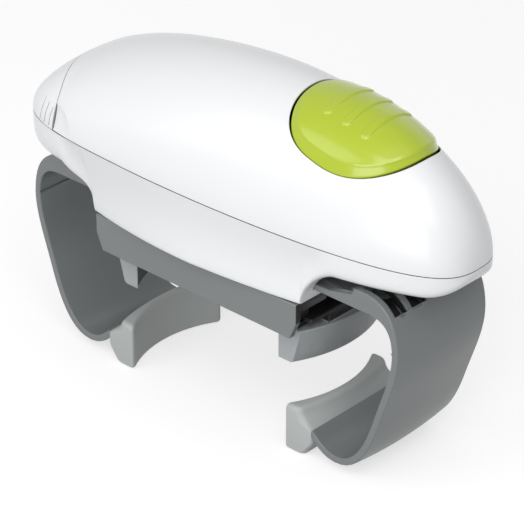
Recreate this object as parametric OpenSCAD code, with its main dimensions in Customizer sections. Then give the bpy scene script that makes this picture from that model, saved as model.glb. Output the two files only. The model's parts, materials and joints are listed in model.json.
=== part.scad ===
// Electric jar opener: two sliding arms hold the jar while a turning carriage
// with its own pair of jaws unscrews the lid. Millimetres, +Z up, +X towards the
// button end. The origin is on the jar's axis, level with the jar pads' lower edge.

/* [Jar and lid] */
// Radius of the jar between the pads in the rest position
jar_r = 44.5; // [43.5:0.5:46]
// Radius of the lid between the lid jaws in the rest position
lid_r = 42; // [41:0.5:43]
// How far each arm slides in from rest
arm_travel_in = 24; // [20:1:25]
// How far each arm slides out from rest
arm_travel_out = 10; // [6:1:12]
// How far each lid jaw slides in from rest
jaw_travel_in = 22; // [16:1:23]
// How far each lid jaw slides out from rest
jaw_travel_out = 3; // [2:0.5:4]

/* [Body] */
// Reach of the body from the axis to the battery end
body_left = 88; // [86:1:92]
// Reach of the body from the axis to the button end
body_right = 102.5; // [100:0.5:108]
// How far the body's widest place stands out beside an arm
body_side = 13.3; // [12.6:0.1:15]
// Place of the widest section along the body
wide_x = -28; // [-32:1:-24]
// Height of the dome over the seam
dome_h = 41.5; // [40.5:0.5:46]
// Place of the dome's highest point along the body
peak_x = 22; // [18:1:24]
// Height of the seam over the wings' underside, at the axis
seam_rise = 14.2; // [13:0.2:16]
// Fall of the seam for each millimetre towards the button end
seam_fall = 0.048; // [0.03:0.002:0.06]
// Gap between the shells along the seam
seam_gap = 0.25; // [0.1:0.05:0.4]
// Wall of the moulded shells
wall = 2.4; // [2:0.1:2.8]
// Half of the length of the boss under the body
boss_half_l = 49.5; // [49:0.5:51]
// How far the boss stands out beside an arm at its middle
boss_side = 12.1; // [11.4:0.1:12.4]
// How far the boss stands out beside an arm at its ends
boss_end_side = 6.6; // [6.4:0.1:7]
// How far the flanks above the boss are hollowed in
flank_dip = 1.6; // [0.5:0.1:2]
// Thickness of the boss's floor
floor_t = 2.7; // [2.2:0.1:3]

/* [Arms] */
// Farthest reach of an arm from the axis
arm_reach = 88.4; // [87:0.2:91]
// Half of an arm's width
arm_half_w = 23.7; // [22.5:0.1:23.9]
// Thickness of an arm's strap
strap_t = 2.7; // [2.4:0.1:3.2]
// Thickness of an arm's sliding plate
plate_t = 2.5; // [2.2:0.1:2.8]
// Height of an arm's top over the underside of its plate
arm_step = 7.5; // [7.2:0.1:8.5]
// Thickness of the wedge-shaped cheeks beside an arm's plate
cheek_t = 2.8; // [2:0.1:3.2]
// Distance from the axis to the inner end of an arm's plate
plate_start = 35; // [34.5:0.5:37]
// Distance from the axis to the thin end of the cheeks
cheek_start = 52; // [50:1:54]
// Height of a jar pad
pad_h = 18.5; // [17:0.5:20]
// Thickness of a jar pad's upper wall
pad_t = 4.5; // [4:0.1:5]
// How far a jar pad stands out beside its arm
pad_side = 0.3; // [0:0.1:0.6]
// Distance from the axis to a jar pad's back, where the strap enters
pad_back = 52; // [51.5:0.1:53]
// Height of the strap's lowest point over the pads' lower edge
strap_low = 3.6; // [3:0.2:4.4]

/* [Carriage and lid jaws] */
// Height of the lid jaws' lower edge over the pads' lower edge
lid_jaw_z = 36; // [34:0.5:37]
// Height of a lid jaw
lid_jaw_h = 14.3; // [13:0.1:15]
// Thickness of a lid jaw at its lower edge
lid_jaw_t = 5.8; // [5:0.1:6]
// Thickness of a lid jaw at its upper edge
lid_jaw_top_t = 9; // [8:0.1:9.5]
// Half of a lid jaw's width
lid_jaw_half_w = 23.8; // [22:0.1:24.5]
// Thickness of the rubber liner on a lid jaw
liner_t = 1.2; // [1:0.1:1.6]
// Half of the carriage's length
car_half_l = 48.7; // [48:0.1:49]
// Half of the carriage's length at its lower edge
car_low_half_l = 45.8; // [45:0.1:46.5]
// Half of the carriage's width
car_half_w = 30.3; // [29.8:0.1:30.6]
// Height of the carriage
car_h = 14.3; // [14.3:0.1:15.5]
// Thickness of the carriage's side walls
car_wall = 2.6; // [2.2:0.1:3]
// Thickness of the carriage's top
car_top_t = 4; // [3.6:0.1:4]
// Thickness of the carriage cover
car_cover_t = 2; // [1.8:0.1:2.2]

/* [Gears] */
// Module of the racks and their pinions
rack_module = 1; // [0.95:0.01:1.02]
// Teeth on the jar pinion
jar_teeth = 16; // [16:2:16]
// Teeth on the lid pinion
lid_teeth = 14; // [14:2:14]
// Height of the arm racks and the jar pinion
rack_h = 4; // [3.6:0.1:4.2]
// Height of the lid-jaw racks and the lid pinion
lid_rack_h = 2.9; // [2.6:0.1:3]
// Module of the drive train
train_module = 0.8; // [0.78:0.01:0.82]
// Face width of the drive train's gears
train_face = 5; // [4.5:0.1:5.2]
// Radius of the spindle
spindle_r = 4; // [3.8:0.1:4]

/* [Button] */
// Distance from the axis to the widest place of the button
button_x = 52; // [51:0.5:54]
// Tilt of the button towards the button end
button_tilt = 14; // [12:1:16]
// Reach of the button from its widest place towards the battery end
button_left = 21.4; // [20:0.1:22]
// Reach of the button from its widest place towards the button end
button_right = 29.4; // [27:0.1:30]
// Half of the button's width
button_half_w = 20.9; // [19.5:0.1:21.2]
// How far the button stands out of the dome
button_proud = 2.6; // [2.2:0.1:3]
// How far the button travels when it is pressed
button_travel = 2.5; // [2:0.1:2.8]

/* [Power] */
// Diameter of a battery cell
cell_d = 14.5; // [14:0.1:14.5]
// Length of a battery cell
cell_l = 50.5; // [49:0.5:50.5]
// Diameter of the motor
motor_d = 24.4; // [20:0.2:25]
// Length of the motor
motor_l = 22; // [18:0.5:22.5]
// Height of the gearhead
gearhead_h = 10; // [8:0.5:10.5]

/* [Hidden] */
$fn = 48;
eps = 0.01;        // overlap that keeps cuts clean
slide_gap = 0.3;   // clearance between faces that slide past each other
fit = 0.05;        // radial clearance of a shaft in its hole
groove = 0.3;      // gap round the battery cover
backlash = 0.16;   // slack between meshing teeth
big = 400;         // larger than the whole object

// Half widths that follow the arms
body_half_w = arm_half_w + body_side;
boss_half_w = arm_half_w + boss_side;
boss_end_half_w = arm_half_w + boss_end_side;
pad_half_w = arm_half_w + pad_side;

// Heights, from the lid jaws up
jaw_top = lid_jaw_z + lid_jaw_h;
car_z = jaw_top + slide_gap;
car_top = car_z + car_h;
boss_z = car_top + slide_gap;
floor_z = boss_z + floor_t;
rail_h = 1;
plate_z = floor_z + rail_h + slide_gap;
plate_top = plate_z + plate_t;
rack_z = plate_top + slide_gap;
arm_top = plate_z + arm_step;
wing_gap = 1.3;    // daylight between an arm's top and the wing above it
wing_z = arm_top + wing_gap;
deck_z = wing_z + wall;      // the flat floor inside the wings
seam_z = wing_z + seam_rise;
chassis_t = 2.2;
train_z = deck_z + 0.6;
big_gear_z = train_z + train_face + 1;
top_plate_z = big_gear_z + train_face + 0.8;
top_plate_t = 2;

// ---- The body's form ----
// Width in plan: a blunt round end on the left, a longer taper to the right.
left_power = 4;
right_power = 1.6;
right_root = 2.8;
section_power = 1.9;    // the dome's cross-section, close to an ellipse
function wing_power(x) = x < 0 ? 4 : 7;    // the wings' cross-section, flatter below
boss_power = 16;        // the boss's cross-section, nearly square

function seam_at(x) = seam_z - seam_fall * x;
function share(x, x0, left, right) = x < x0 ? (x0 - x) / (left + x0) : (x - x0) / (right - x0);
function plan_w(x, g = 0) =
    let (t = min(1, share(x, wide_x, body_left - g, body_right - g)))
    (body_half_w - g) * (x < wide_x ? pow(1 - pow(t, left_power), 1 / left_power)
                                    : pow(1 - pow(t, right_power), 1 / right_root));
function dome_rise(x, g = 0) =
    let (t = min(1, share(x, peak_x, body_left - g, body_right - g)))
    (dome_h - g) * sqrt(1 - pow(t, x < peak_x ? 1.5 : 2.8));
function dome_z(x, y) =
    seam_at(x) + dome_rise(x) * pow(1 - pow(min(1, abs(y) / plan_w(x)), section_power), 1 / section_power);

// Stations along the body, closer together towards both ends
half_stations = 15;
function station(k, g) =
    let (u = 90 * (1 - pow(1 - abs(k) / half_stations, 1.7)))
    k < 0 ? wide_x - (body_left - g + wide_x) * sin(u) : wide_x + (body_right - g - wide_x) * sin(u);
function stations(g) = [for (k = [1 - half_stations : half_stations - 1]) station(k, g)];
function signed_pow(v, p) = sign(v) * pow(abs(v), p);

// A closed solid through equal rings of points, ending in a point at each end
module loft(rings, first, last) {
    n = len(rings[0]);
    m = len(rings);
    points = concat([for (ring = rings) each ring], [first, last]);
    sides = [for (i = [0 : m - 2], j = [0 : n - 1]) each [
        [i * n + j, (i + 1) * n + j, i * n + (j + 1) % n],
        [(i + 1) * n + j, (i + 1) * n + (j + 1) % n, i * n + (j + 1) % n]]];
    caps = [for (j = [0 : n - 1]) each [
        [m * n, j, (j + 1) % n],
        [m * n + 1, (m - 1) * n + (j + 1) % n, (m - 1) * n + j]]];
    polyhedron(points, concat(sides, caps));
}

// The dome's solid, drawn in by g and moved down by drop
arc_steps = 18;
module dome_solid(g = 0, drop = 0) {
    function ring(x) = [for (j = [0 : arc_steps])
        let (a = 180 * j / arc_steps, p = 2 / section_power)
        [x, plan_w(x, g) * signed_pow(cos(a), p),
            seam_at(x) - drop + (dome_rise(x, g) + drop) * signed_pow(sin(a), p)]];
    loft([for (x = stations(g)) ring(x)],
        [g - body_left, 0, seam_at(g - body_left) - drop],
        [body_right - g, 0, seam_at(body_right - g) - drop]);
}

// The lower body: wings with flat undersides that run down into the boss
fillet_r = wing_z - boss_z;
fillet_end = boss_half_l + fillet_r + 0.5;
end_steps = 8;
fillet_steps = 9;
boss_steps = 10;
// Stations from one end to the other: close at the ends and along both fillets
function lower_stations(g) = concat(
    [for (k = [1 : end_steps - 1]) g - body_left + (body_left - g - fillet_end) * pow(k / end_steps, 2)],
    [for (k = [0 : fillet_steps]) -fillet_end + (fillet_r + 0.5) * k / fillet_steps],
    [for (k = [0 : boss_steps]) (boss_half_l - 0.3) * (2 * k / boss_steps - 1)],
    [for (k = [fillet_steps : -1 : 0]) fillet_end - (fillet_r + 0.5) * k / fillet_steps],
    [for (k = [end_steps - 1 : -1 : 1]) body_right - g - (body_right - g - fillet_end) * pow(k / end_steps, 2)]);
function boss_w(x) = boss_half_w - (boss_half_w - boss_end_half_w) * pow(x / boss_half_l, 2);
function boss_share(x) =
    let (t = max(0, min(1, (boss_half_l + fillet_r - abs(x)) / fillet_r))) t * t * (3 - 2 * t);
function under_z(x) =
    let (d = boss_half_l + fillet_r - abs(x))
    d <= 0 ? wing_z : d >= fillet_r ? boss_z - 2
        : min(wing_z, boss_z - 2 + (fillet_r + 2) * sqrt(1 - pow(d / fillet_r, 2)));
function flank_y(x, q) =
    let (k = boss_share(x), m = wing_power(x) + (boss_power - wing_power(x)) * k,
        w = plan_w(x), taper = 1 - min(1, boss_w(x) / w))
    max(0, w * pow(max(0, 1 - pow(q, m)), 1 / m) * (1 - k * taper * q) - k * flank_dip * sin(180 * q));
depth_steps = 10;
function depth(j) = 1 - pow(1 - j / depth_steps, 1.8);
function mirrored(half) = concat(half, [for (j = [len(half) - 2 : -1 : 0]) [half[j][0], -half[j][1], half[j][2]]]);
module lower_solid() {
    function ring(x) = mirrored([for (j = [0 : depth_steps])
        let (q = depth(j)) [x, -flank_y(x, q), seam_at(x) - (seam_at(x) - under_z(x)) * q]]);
    difference() {
        loft([for (x = lower_stations(0)) ring(x)],
            [-body_left, 0, seam_at(-body_left)], [body_right, 0, seam_at(body_right)]);
        translate([-big / 2, -big / 2, boss_z - big]) cube(big);
    }
}
module lower_hollow() {
    function ring(x) = mirrored([for (j = [0 : depth_steps])
        let (q = depth(j), drop = (seam_at(x) - deck_z + 1) * q,
            own = plan_w(x, wall) * pow(max(0, 1 - pow(q, 12)), 1 / 12),
            flank = flank_y(x, drop / (seam_at(x) - under_z(x))) - wall)
        [x, -max(0, min(own, flank)), seam_at(x) - drop + (j == 0 ? eps : 0)]]);
    intersection() {
        loft([for (x = lower_stations(wall)) ring(x)],
            [wall - body_left, 0, seam_at(wall - body_left) + eps],
            [body_right - wall, 0, seam_at(body_right - wall) + eps]);
        translate([-big / 2, -big / 2, deck_z]) cube(big);
    }
}

// ---- Small helpers ----
module at_each(places) { for (p = places) translate(p) children(); }
module both_sides() { children(); mirror([0, 1, 0]) children(); }
module other_arm() { rotate([0, 0, 180]) children(); }
module tube(r_out, r_in, h) {
    difference() {
        cylinder(r = r_out, h = h);
        translate([0, 0, -eps]) cylinder(r = r_in, h = h + 2 * eps);
    }
}
// A pan-head screw, head at z = 0 and shank upwards
module screw(shank_r, shank_l, head_r, head_h) {
    difference() {
        union() {
            translate([0, 0, -head_h]) cylinder(r = head_r, h = head_h);
            translate([0, 0, -eps]) cylinder(r = shank_r, h = shank_l + eps);
        }
        for (turn = [0, 90]) rotate([0, 0, turn])
            translate([-head_r * 0.6, -0.3, -head_h - eps]) cube([head_r * 1.2, 0.6, head_h / 2]);
    }
}
// A coil of round wire that stands on z = 0
module coil(coil_r, wire_r, height, turns, sides = 6, steps = 12) {
    n = turns * steps;
    rings = [for (i = [0 : n])
        let (a = 360 * i / steps, z = wire_r + (height - 2 * wire_r) * i / n)
        [for (j = [0 : sides - 1])
            let (b = -360 * j / sides)
            [(coil_r + wire_r * cos(b)) * cos(a), (coil_r + wire_r * cos(b)) * sin(a), z + wire_r * sin(b)]]];
    end_a = 360 * turns;
    loft(rings, [coil_r, 0, wire_r],
        [coil_r * cos(end_a), coil_r * sin(end_a), height - wire_r]);
}

// ---- Gears ----
pressure = 20;
function roll(r_base, r) = sqrt(pow(r / r_base, 2) - 1) * 180 / PI;
function involute_angle(r_base, r) = roll(r_base, r) - atan(roll(r_base, r) * PI / 180);
// A gear's outline, with a tooth centred on +X
function gear_points(m, teeth) =
    let (rp = m * teeth / 2, rb = rp * cos(pressure), ro = rp + m, rr = rp - 1.25 * m,
        half = 90 / teeth - backlash / 2 / rp * 180 / PI,
        start = max(rb, rr), lean = half + involute_angle(rb, rp),
        radii = [for (k = [0 : 4]) start + (ro - start) * k / 4])
    [for (tooth = [0 : teeth - 1])
        let (mid = 360 * tooth / teeth)
        each concat(
            [[rr, mid - lean - 0.6]],
            [for (r = radii) [r, mid - lean + involute_angle(rb, r)]],
            [for (k = [4 : -1 : 0]) [radii[k], mid + lean - involute_angle(rb, radii[k])]],
            [[rr, mid + lean + 0.6]])];
module gear_outline(m, teeth) {
    polygon([for (p = gear_points(m, teeth)) [p[0] * cos(p[1]), p[0] * sin(p[1])]]);
}
module gear(m, teeth, h) { linear_extrude(h) gear_outline(m, teeth); }
// A rack along X with its pitch line on y = 0 and its teeth towards -Y
module rack(m, from, to, back, h) {
    pitch = PI * m;
    half = pitch / 4 - backlash / 2;
    slope = tan(pressure);
    first = ceil((from + pitch / 2) / pitch - 0.5);
    last = floor((to - pitch / 2) / pitch - 0.5);
    linear_extrude(h) union() {
        translate([from, 1.25 * m]) square([to - from, back - 1.25 * m]);
        for (k = [first : last]) translate([(k + 0.5) * pitch, 0]) polygon([
            [-half - 1.3 * m * slope, 1.3 * m], [-half + m * slope, -m],
            [half - m * slope, -m], [half + 1.3 * m * slope, 1.3 * m]]);
    }
}

// ---- Arms ----
// The strap's outer line: four cubic curves from the arm's top to the pad
strap_start = arm_reach - 19.4;
tip_z = strap_low + 3.8;
strap_curves = [
    [[strap_start, arm_top], [arm_reach - 6.4, arm_top + 0.9],
        [arm_reach - 0.8, arm_top - 5.8], [arm_reach, arm_top - 18.8]],
    [[arm_reach, arm_top - 18.8], [arm_reach + 0.4, arm_top - 28.8],
        [arm_reach - 4.3, arm_top - 38.7], [arm_reach - 7.8, arm_top - 50.5]],
    [[arm_reach - 7.8, arm_top - 50.5], [arm_reach - 10.9, arm_top - 60.2],
        [arm_reach - 15.9, strap_low + 0.3], [pad_back + 10, strap_low]],
    [[pad_back + 10, strap_low], [pad_back + 6, strap_low - 0.2],
        [pad_back + 2.5, strap_low + 1.6], [pad_back, tip_z]]
];
curve_steps = 12;
function bezier(c, t) = pow(1 - t, 3) * c[0] + 3 * pow(1 - t, 2) * t * c[1]
    + 3 * (1 - t) * t * t * c[2] + pow(t, 3) * c[3];
function bezier_dir(c, t) = let (v = pow(1 - t, 2) * (c[1] - c[0]) + 2 * (1 - t) * t * (c[2] - c[1])
    + t * t * (c[3] - c[2])) v / norm(v);
strap_nodes = [for (i = [0 : 3], k = [0 : curve_steps - (i < 3 ? 1 : 0)])
    let (t = k / curve_steps) [bezier(strap_curves[i], t), bezier_dir(strap_curves[i], t)]];
// The strap's outline: its outer line and the same line moved in by its thickness
module strap_profile(grow = 0) {
    outer = [for (n = strap_nodes) n[0] - grow * [n[1][1], -n[1][0]]];
    inner = [for (n = strap_nodes) n[0] + (strap_t + grow) * [n[1][1], -n[1][0]]];
    tongue = strap_nodes[len(strap_nodes) - 1];
    polygon(concat(outer,
        [tongue[0] + tongue_l * tongue[1] - grow * [tongue[1][1], -tongue[1][0]],
            tongue[0] + tongue_l * tongue[1] + (strap_t + grow) * [tongue[1][1], -tongue[1][0]]],
        [for (k = [len(inner) - 1 : -1 : 0]) inner[k]]));
}
tongue_l = 4;         // how far the strap runs into the pad
bend_x = arm_reach - 12.3;
bend_curve = [[bend_x, plate_z], [bend_x + 6.8, plate_z - 0.4],
    [arm_reach - strap_t - 0.4, plate_z - 4.5], [arm_reach - strap_t, arm_top - 19]];
// Turns an outline in x and z into a solid across the body
module across(half_w) { rotate([90, 0, 0]) linear_extrude(2 * half_w, center = true) children(); }
rib_x = strap_start - 1.5;
module arm() {
    difference() {
        union() {
            across(arm_half_w) strap_profile();
            arm_plate();
        }
        // pockets in the strap's top, with ribs between them
        both_sides() for (lane = arm_pockets) translate([0, (lane[0] + lane[1]) / 2, 0])
            across((lane[1] - lane[0]) / 2) pocket_profile();
    }
}
arm_pockets = [[5, 12], [15, arm_half_w - cheek_t]];
pocket_end = arm_reach - 3.8;
module pocket_profile() {
    polygon([[strap_start + 1.5, plate_top], [bend_x, plate_top], [bend_x + 4.1, plate_top - 1.1],
        [bend_x + 7.1, plate_top - 3.1], [pocket_end, plate_top - 4.9], [pocket_end, arm_top + 5],
        [strap_start + 1.5, arm_top + 5]]);
}
module arm_plate() {
    // the plate that slides in the boss, which runs into the inside of the strap's bend
    across(arm_half_w) polygon(concat([[plate_start, plate_top], [plate_start, plate_z]],
        [for (k = [0 : 8]) bezier(bend_curve, k / 8)],
        [[arm_reach - 1, arm_top - 19], [arm_reach - 5, arm_top - 6], [bend_x, plate_top]]));
    // solid wedges on both edges, and a rib between them at the strap's start
    both_sides() translate([0, arm_half_w - cheek_t / 2, 0]) across(cheek_t / 2) wedge();
    across(rack_lane_in - 1) intersection() {
        wedge();
        translate([rib_x, 0]) square([big, big]);
    }
    both_sides() translate([0, (arm_half_w - cheek_t + rack_lane_out) / 2, 0])
        across((arm_half_w - cheek_t - rack_lane_out) / 4) intersection() {
            wedge();
            translate([rib_x - 4, 0]) square([big, big]);
        }
}
module wedge() {
    polygon([[cheek_start, plate_z + 0.2], [cheek_start, plate_z + 1.2], [strap_start - 1.6, arm_top - 2.7],
        [strap_start - 0.4, arm_top], [strap_start + 6, arm_top - 0.4], [bend_x + 6.5, plate_top + 1], [bend_x + 6, plate_z], [bend_x, plate_z]]);
}
// Lanes of the two arm racks, either side of the jar pinion
jar_pitch_r = rack_module * jar_teeth / 2;
rack_lane_in = jar_pitch_r - rack_module;
rack_lane_out = jar_pitch_r + 6;
rack_end = strap_start - 3;
module arm_rack() {
    translate([0, jar_pitch_r, rack_z]) difference() {
        union() {
            rack(rack_module, -arm_travel_out - 6, arm_travel_in + 7, rack_lane_out - jar_pitch_r, rack_h);
            translate([arm_travel_in + 6, 1.25, 0]) cube([rack_end - arm_travel_in - 6, 4.75, rack_h]);
            translate([plate_start + 4, 1.25, -slide_gap]) cube([rack_end - plate_start - 4, 4.75, slide_gap + eps]);
        }
        at_each(rack_screw_places) translate([0, 0, -1]) cylinder(r = 1.25, h = big);
    }
}
rack_screw_places = [for (x = [plate_start + 9, rack_end - 4]) [x, 3.6, 0]];
module rack_screws() {
    translate([0, jar_pitch_r, plate_z]) at_each(rack_screw_places)
        translate([0, 0, 0.2 + eps]) difference() {
            cylinder(r = 1.2, h = plate_t + slide_gap + rack_h - 0.8);
            translate([-0.8, -0.25, plate_t + slide_gap + rack_h - 1.4]) cube([1.6, 0.5, 2]);
        }
}
module right_arm() {
    difference() {
        arm();
        plate_screw_holes();
    }
}
module left_arm() { other_arm() right_arm(); }
module plate_screw_holes() {
    translate([0, jar_pitch_r, plate_z]) at_each(rack_screw_places)
        translate([0, 0, -1]) cylinder(r = 1.25, h = plate_t + 2);
}
// A pad: its back runs from a curved upper rim down to a straight foot on the strap
pad_edge = 2.4;
foot_edge = 5;       // chamfer along the pad's lower back edge
pad_curve_r = 80;    // the upper rim's back is flatter than the jar
pad_corner = 1.8;    // chamfer of the edges beside the jar
module pad_slice(z, back, half_w) {
    translate([0, 0, z]) linear_extrude(0.02) intersection() {
        translate([back - pad_curve_r, 0]) circle(r = pad_curve_r, $fn = 120);
        translate([jar_r - 14, -half_w]) square([big, 2 * half_w]);
    }
}
module pad_foot(low, high, back, half_w) {
    translate([jar_r - 14, -half_w, low]) cube([back - jar_r + 14, 2 * half_w, high - low]);
}
module jar_pad() {
    rim_r = jar_r + pad_t;
    difference() {
        hull() {
            pad_slice(pad_h - 0.02, rim_r - 1.2, pad_half_w - 3.4);
            pad_slice(pad_h - 0.8, rim_r - 0.3, pad_half_w - 1.4);
            pad_slice(pad_h - pad_edge - 1, rim_r, pad_half_w);
            pad_foot(foot_edge + 1, tip_z + 4, pad_back - 1, pad_half_w);
            pad_foot(2.4, 3, pad_back - foot_edge + 1.6, pad_half_w);
            pad_foot(0, 0.02, pad_back - foot_edge, pad_half_w - 1);
        }
        translate([0, 0, -1]) cylinder(r = jar_r, h = pad_h + 2, $fn = 96);
        both_sides() translate([sqrt(pow(jar_r, 2) - pow(pad_half_w, 2)), pad_half_w, 0]) rotate([0, 0, 45])
            cube([pad_corner * sqrt(2), pad_corner * sqrt(2), big], center = true);
        across(arm_half_w + 0.05) strap_profile(0.05);
        // a groove where the strap goes in
        intersection() {
            across(big / 2) strap_profile(0.9);
            translate([pad_back - 2.2, -big / 2, 0]) cube(big);
        }
    }
}

// ---- Carriage and lid jaws ----
lid_pitch_r = rack_module * lid_teeth / 2;
car_cover_z = car_z + slide_gap;
jaw_plate_z = car_cover_z + car_cover_t + slide_gap;
jaw_plate_t = 1.8;
lid_rack_z = jaw_plate_z + jaw_plate_t + slide_gap;
car_ceiling = car_top - car_top_t;
flange_t = 1.9;
flange_r = 11;
neck_out = lid_r + 6;
neck_t = 5;
neck_half_w = 12;
jaw_plate_half_w = neck_half_w + 9.3;
rail_y = jaw_plate_half_w - 2;    // inner edge of the rails that guide the jaws' plates
car_screw_places = [for (x = [-30, 30], y = [-24.9, 24.9]) [x, y, 0]];
module carriage_frame() {
    difference() {
        across(car_half_w) polygon([[-car_low_half_l, car_z], [-car_half_l, car_z + 6.9], [-car_half_l, car_top],
            [car_half_l, car_top], [car_half_l, car_z + 6.9], [car_low_half_l, car_z]]);
        // the channel between the side walls, open at both ends and below
        across(car_half_w - car_wall) translate([-big / 2, car_z - 1])
            square([big, car_ceiling - car_z + 1]);
        // the ends are cut back in an arc over the jaws
        for (side = [0, 180]) rotate([0, 0, side]) translate([car_half_l + 26, 0, car_z - 1])
            cylinder(r = 30, h = car_h - 2.2, $fn = 96);
        translate([0, 0, car_z]) cylinder(r = spindle_r, h = car_h + 1);
    }
    // rails that hold the jaws' plates down on the cover
    both_sides() difference() {
        translate([-car_half_l + 3.5, rail_y, jaw_plate_z + jaw_plate_t + slide_gap])
            cube([2 * car_half_l - 7, car_half_w - car_wall - rail_y + eps,
                car_ceiling - jaw_plate_z - jaw_plate_t - slide_gap + eps]);
        at_each(car_screw_places) translate([0, 0, car_z]) cylinder(r = 1.2, h = car_h - 1.5);
    }
    // posts that carry the cover
    difference() {
        at_each(car_screw_places) translate([0, 0, car_cover_z + car_cover_t])
            cylinder(r = 2.6, h = car_ceiling - car_cover_z - car_cover_t + eps);
        at_each(car_screw_places) translate([0, 0, car_z]) cylinder(r = 1.2, h = car_h - 1.5);
    }
}
module carriage_cover() {
    half_l = car_low_half_l - 2;
    translate([0, 0, car_cover_z]) difference() {
        union() {
            translate([-half_l, -car_half_w + car_wall + slide_gap, 0])
                cube([2 * half_l, 2 * (car_half_w - car_wall - slide_gap), car_cover_t]);
            cylinder(r = 5.2, h = lid_rack_z - car_cover_z - slide_gap);
        }
        // slots for the necks of the two jaws
        for (side = [0, 180]) rotate([0, 0, side])
            translate([neck_out - neck_t - jaw_travel_in - 0.5, -neck_half_w - slide_gap, -1])
                cube([big, 2 * (neck_half_w + slide_gap), car_cover_t + 2]);
        translate([0, 0, 1]) cylinder(r = spindle_r + fit, h = 20);
        at_each(car_screw_places) translate([0, 0, -1]) cylinder(r = 1.45, h = 10);
        at_each(car_screw_places) translate([0, 0, -1]) cylinder(r = 2.9, h = 1 + 1.1);
    }
}
module carriage_screws() {
    at_each(car_screw_places) translate([0, 0, car_cover_z + 1.1]) screw(1.15, 7, 2.6, 1);
}
module spindle() {
    foot_z = car_cover_z + 1 + slide_gap;
    translate([0, 0, foot_z]) cylinder(r = spindle_r, h = train_z + train_face + 0.5 - foot_z);
    translate([0, 0, car_ceiling - flange_t]) cylinder(r = flange_r, h = flange_t);
}
module spindle_cut() {
    translate([0, 0, car_z]) cylinder(r = spindle_r, h = big);
}
module lid_jaw() {
    difference() {
        union() {
            // the curved jaw that closes on the lid
            intersection() {
                rotate([0, 0, -45]) rotate_extrude(angle = 90, $fn = 96) polygon([[lid_r, lid_jaw_z],
                    [lid_r + lid_jaw_t - 0.8, lid_jaw_z], [lid_r + lid_jaw_t, lid_jaw_z + 0.8],
                    [lid_r + lid_jaw_top_t, jaw_top], [lid_r, jaw_top]]);
                translate([0, -lid_jaw_half_w, 0]) cube([big, 2 * lid_jaw_half_w, big]);
            }
            // the neck through the cover's slot, and the plate that slides on it
            translate([neck_out - neck_t, -neck_half_w, jaw_top - eps])
                cube([neck_t, 2 * neck_half_w, jaw_plate_z - jaw_top + 2 * eps]);
            translate([neck_out - 16, -jaw_plate_half_w, jaw_plate_z])
                cube([16, 2 * jaw_plate_half_w, jaw_plate_t]);
            // the rack in its own lane
            translate([0, lid_pitch_r, lid_rack_z])
                rack(rack_module, -jaw_travel_out - 5, jaw_travel_in + 5, 6, lid_rack_h);
            translate([jaw_travel_in + 4, lid_pitch_r + 1.25, lid_rack_z])
                cube([neck_out - jaw_travel_in - 4 - 2, 4.75, lid_rack_h]);
            translate([neck_out - 16, lid_pitch_r + 1.25, jaw_plate_z + eps])
                cube([14, 4.75, jaw_plate_t + slide_gap]);
        }
        // the pocket that holds the liner
        intersection() {
            translate([0, 0, lid_jaw_z + liner_margin])
                cylinder(r = lid_r + liner_t, h = lid_jaw_h - 2 * liner_margin, $fn = 96);
            translate([0, liner_margin - lid_jaw_half_w, 0]) cube([big, 2 * (lid_jaw_half_w - liner_margin), big]);
        }
    }
}
liner_margin = 0.8;    // rim of the jaw round its liner
module lid_liner() {
    ribs = 15;
    half_w = lid_jaw_half_w - liner_margin;
    intersection() {
        rotate([0, 0, -45]) rotate_extrude(angle = 90, $fn = 96)
            translate([lid_r, lid_jaw_z + liner_margin]) square([liner_t, lid_jaw_h - 2 * liner_margin]);
        difference() {
            translate([0, -half_w, 0]) cube([big, 2 * half_w, big]);
            for (k = [-ribs / 2 : ribs / 2]) rotate([0, 0, 3.6 * k])
                translate([lid_r + 0.45, 0, lid_jaw_z]) rotate([0, 0, 45])
                    translate([-0.5, -0.5, 0]) cube([0.4, 0.4, lid_jaw_h]);
        }
    }
}

// ---- Drive train ----
drive_teeth = 48;
small_teeth = 14;
large_teeth = 36;
motor_teeth = 12;
drive_gear_r = train_module * (drive_teeth + 2) / 2;
idler_x = train_module * (drive_teeth + small_teeth) / 2;
motor_x = idler_x - train_module * (large_teeth + motor_teeth) / 2;
idler_pin_r = 1.5;
motor_shaft_r = 1.5;
module drive_gear() {
    difference() {
        translate([0, 0, train_z]) gear(train_module, drive_teeth, train_face);
        spindle_cut();
        for (a = [30 : 60 : 330]) rotate([0, 0, a]) translate([11.5, 0, train_z - 1])
            cylinder(r = 3.4, h = train_face + 2);
    }
}
module idler_gear() {
    translate([idler_x, 0, 0]) difference() {
        union() {
            translate([0, 0, train_z]) rotate([0, 0, 180 / small_teeth])
                gear(train_module, small_teeth, big_gear_z - train_z + eps);
            translate([0, 0, big_gear_z]) gear(train_module, large_teeth, train_face);
        }
        translate([0, 0, train_z - 1]) cylinder(r = idler_pin_r + fit, h = 20);
        for (a = [0 : 60 : 300]) rotate([0, 0, a]) translate([9.6, 0, big_gear_z - 1])
            cylinder(r = 2.2, h = train_face + 2);
    }
}
module motor_pinion() {
    translate([motor_x, 0, big_gear_z]) difference() {
        rotate([0, 0, 180 / motor_teeth]) gear(train_module, motor_teeth, train_face);
        translate([0, 0, train_face - 3.5]) cylinder(r = motor_shaft_r + fit, h = 20);
    }
}
module jar_pinion() {
    difference() {
        union() {
            translate([0, 0, rack_z]) rotate([0, 0, 90]) gear(rack_module, jar_teeth, rack_h);
            translate([0, 0, floor_z + bush_flange_t + 0.2])
                cylinder(r = 6, h = deck_z - chassis_t - 0.3 - floor_z - bush_flange_t - 0.2);
        }
        translate([0, 0, floor_z]) cylinder(r = spindle_r + fit, h = 20);
    }
}
module lid_pinion() {
    difference() {
        translate([0, 0, lid_rack_z]) rotate([0, 0, 90]) gear(rack_module, lid_teeth, lid_rack_h);
        translate([0, 0, lid_rack_z - 1]) cylinder(r = spindle_r + fit, h = 20);
    }
}
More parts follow.
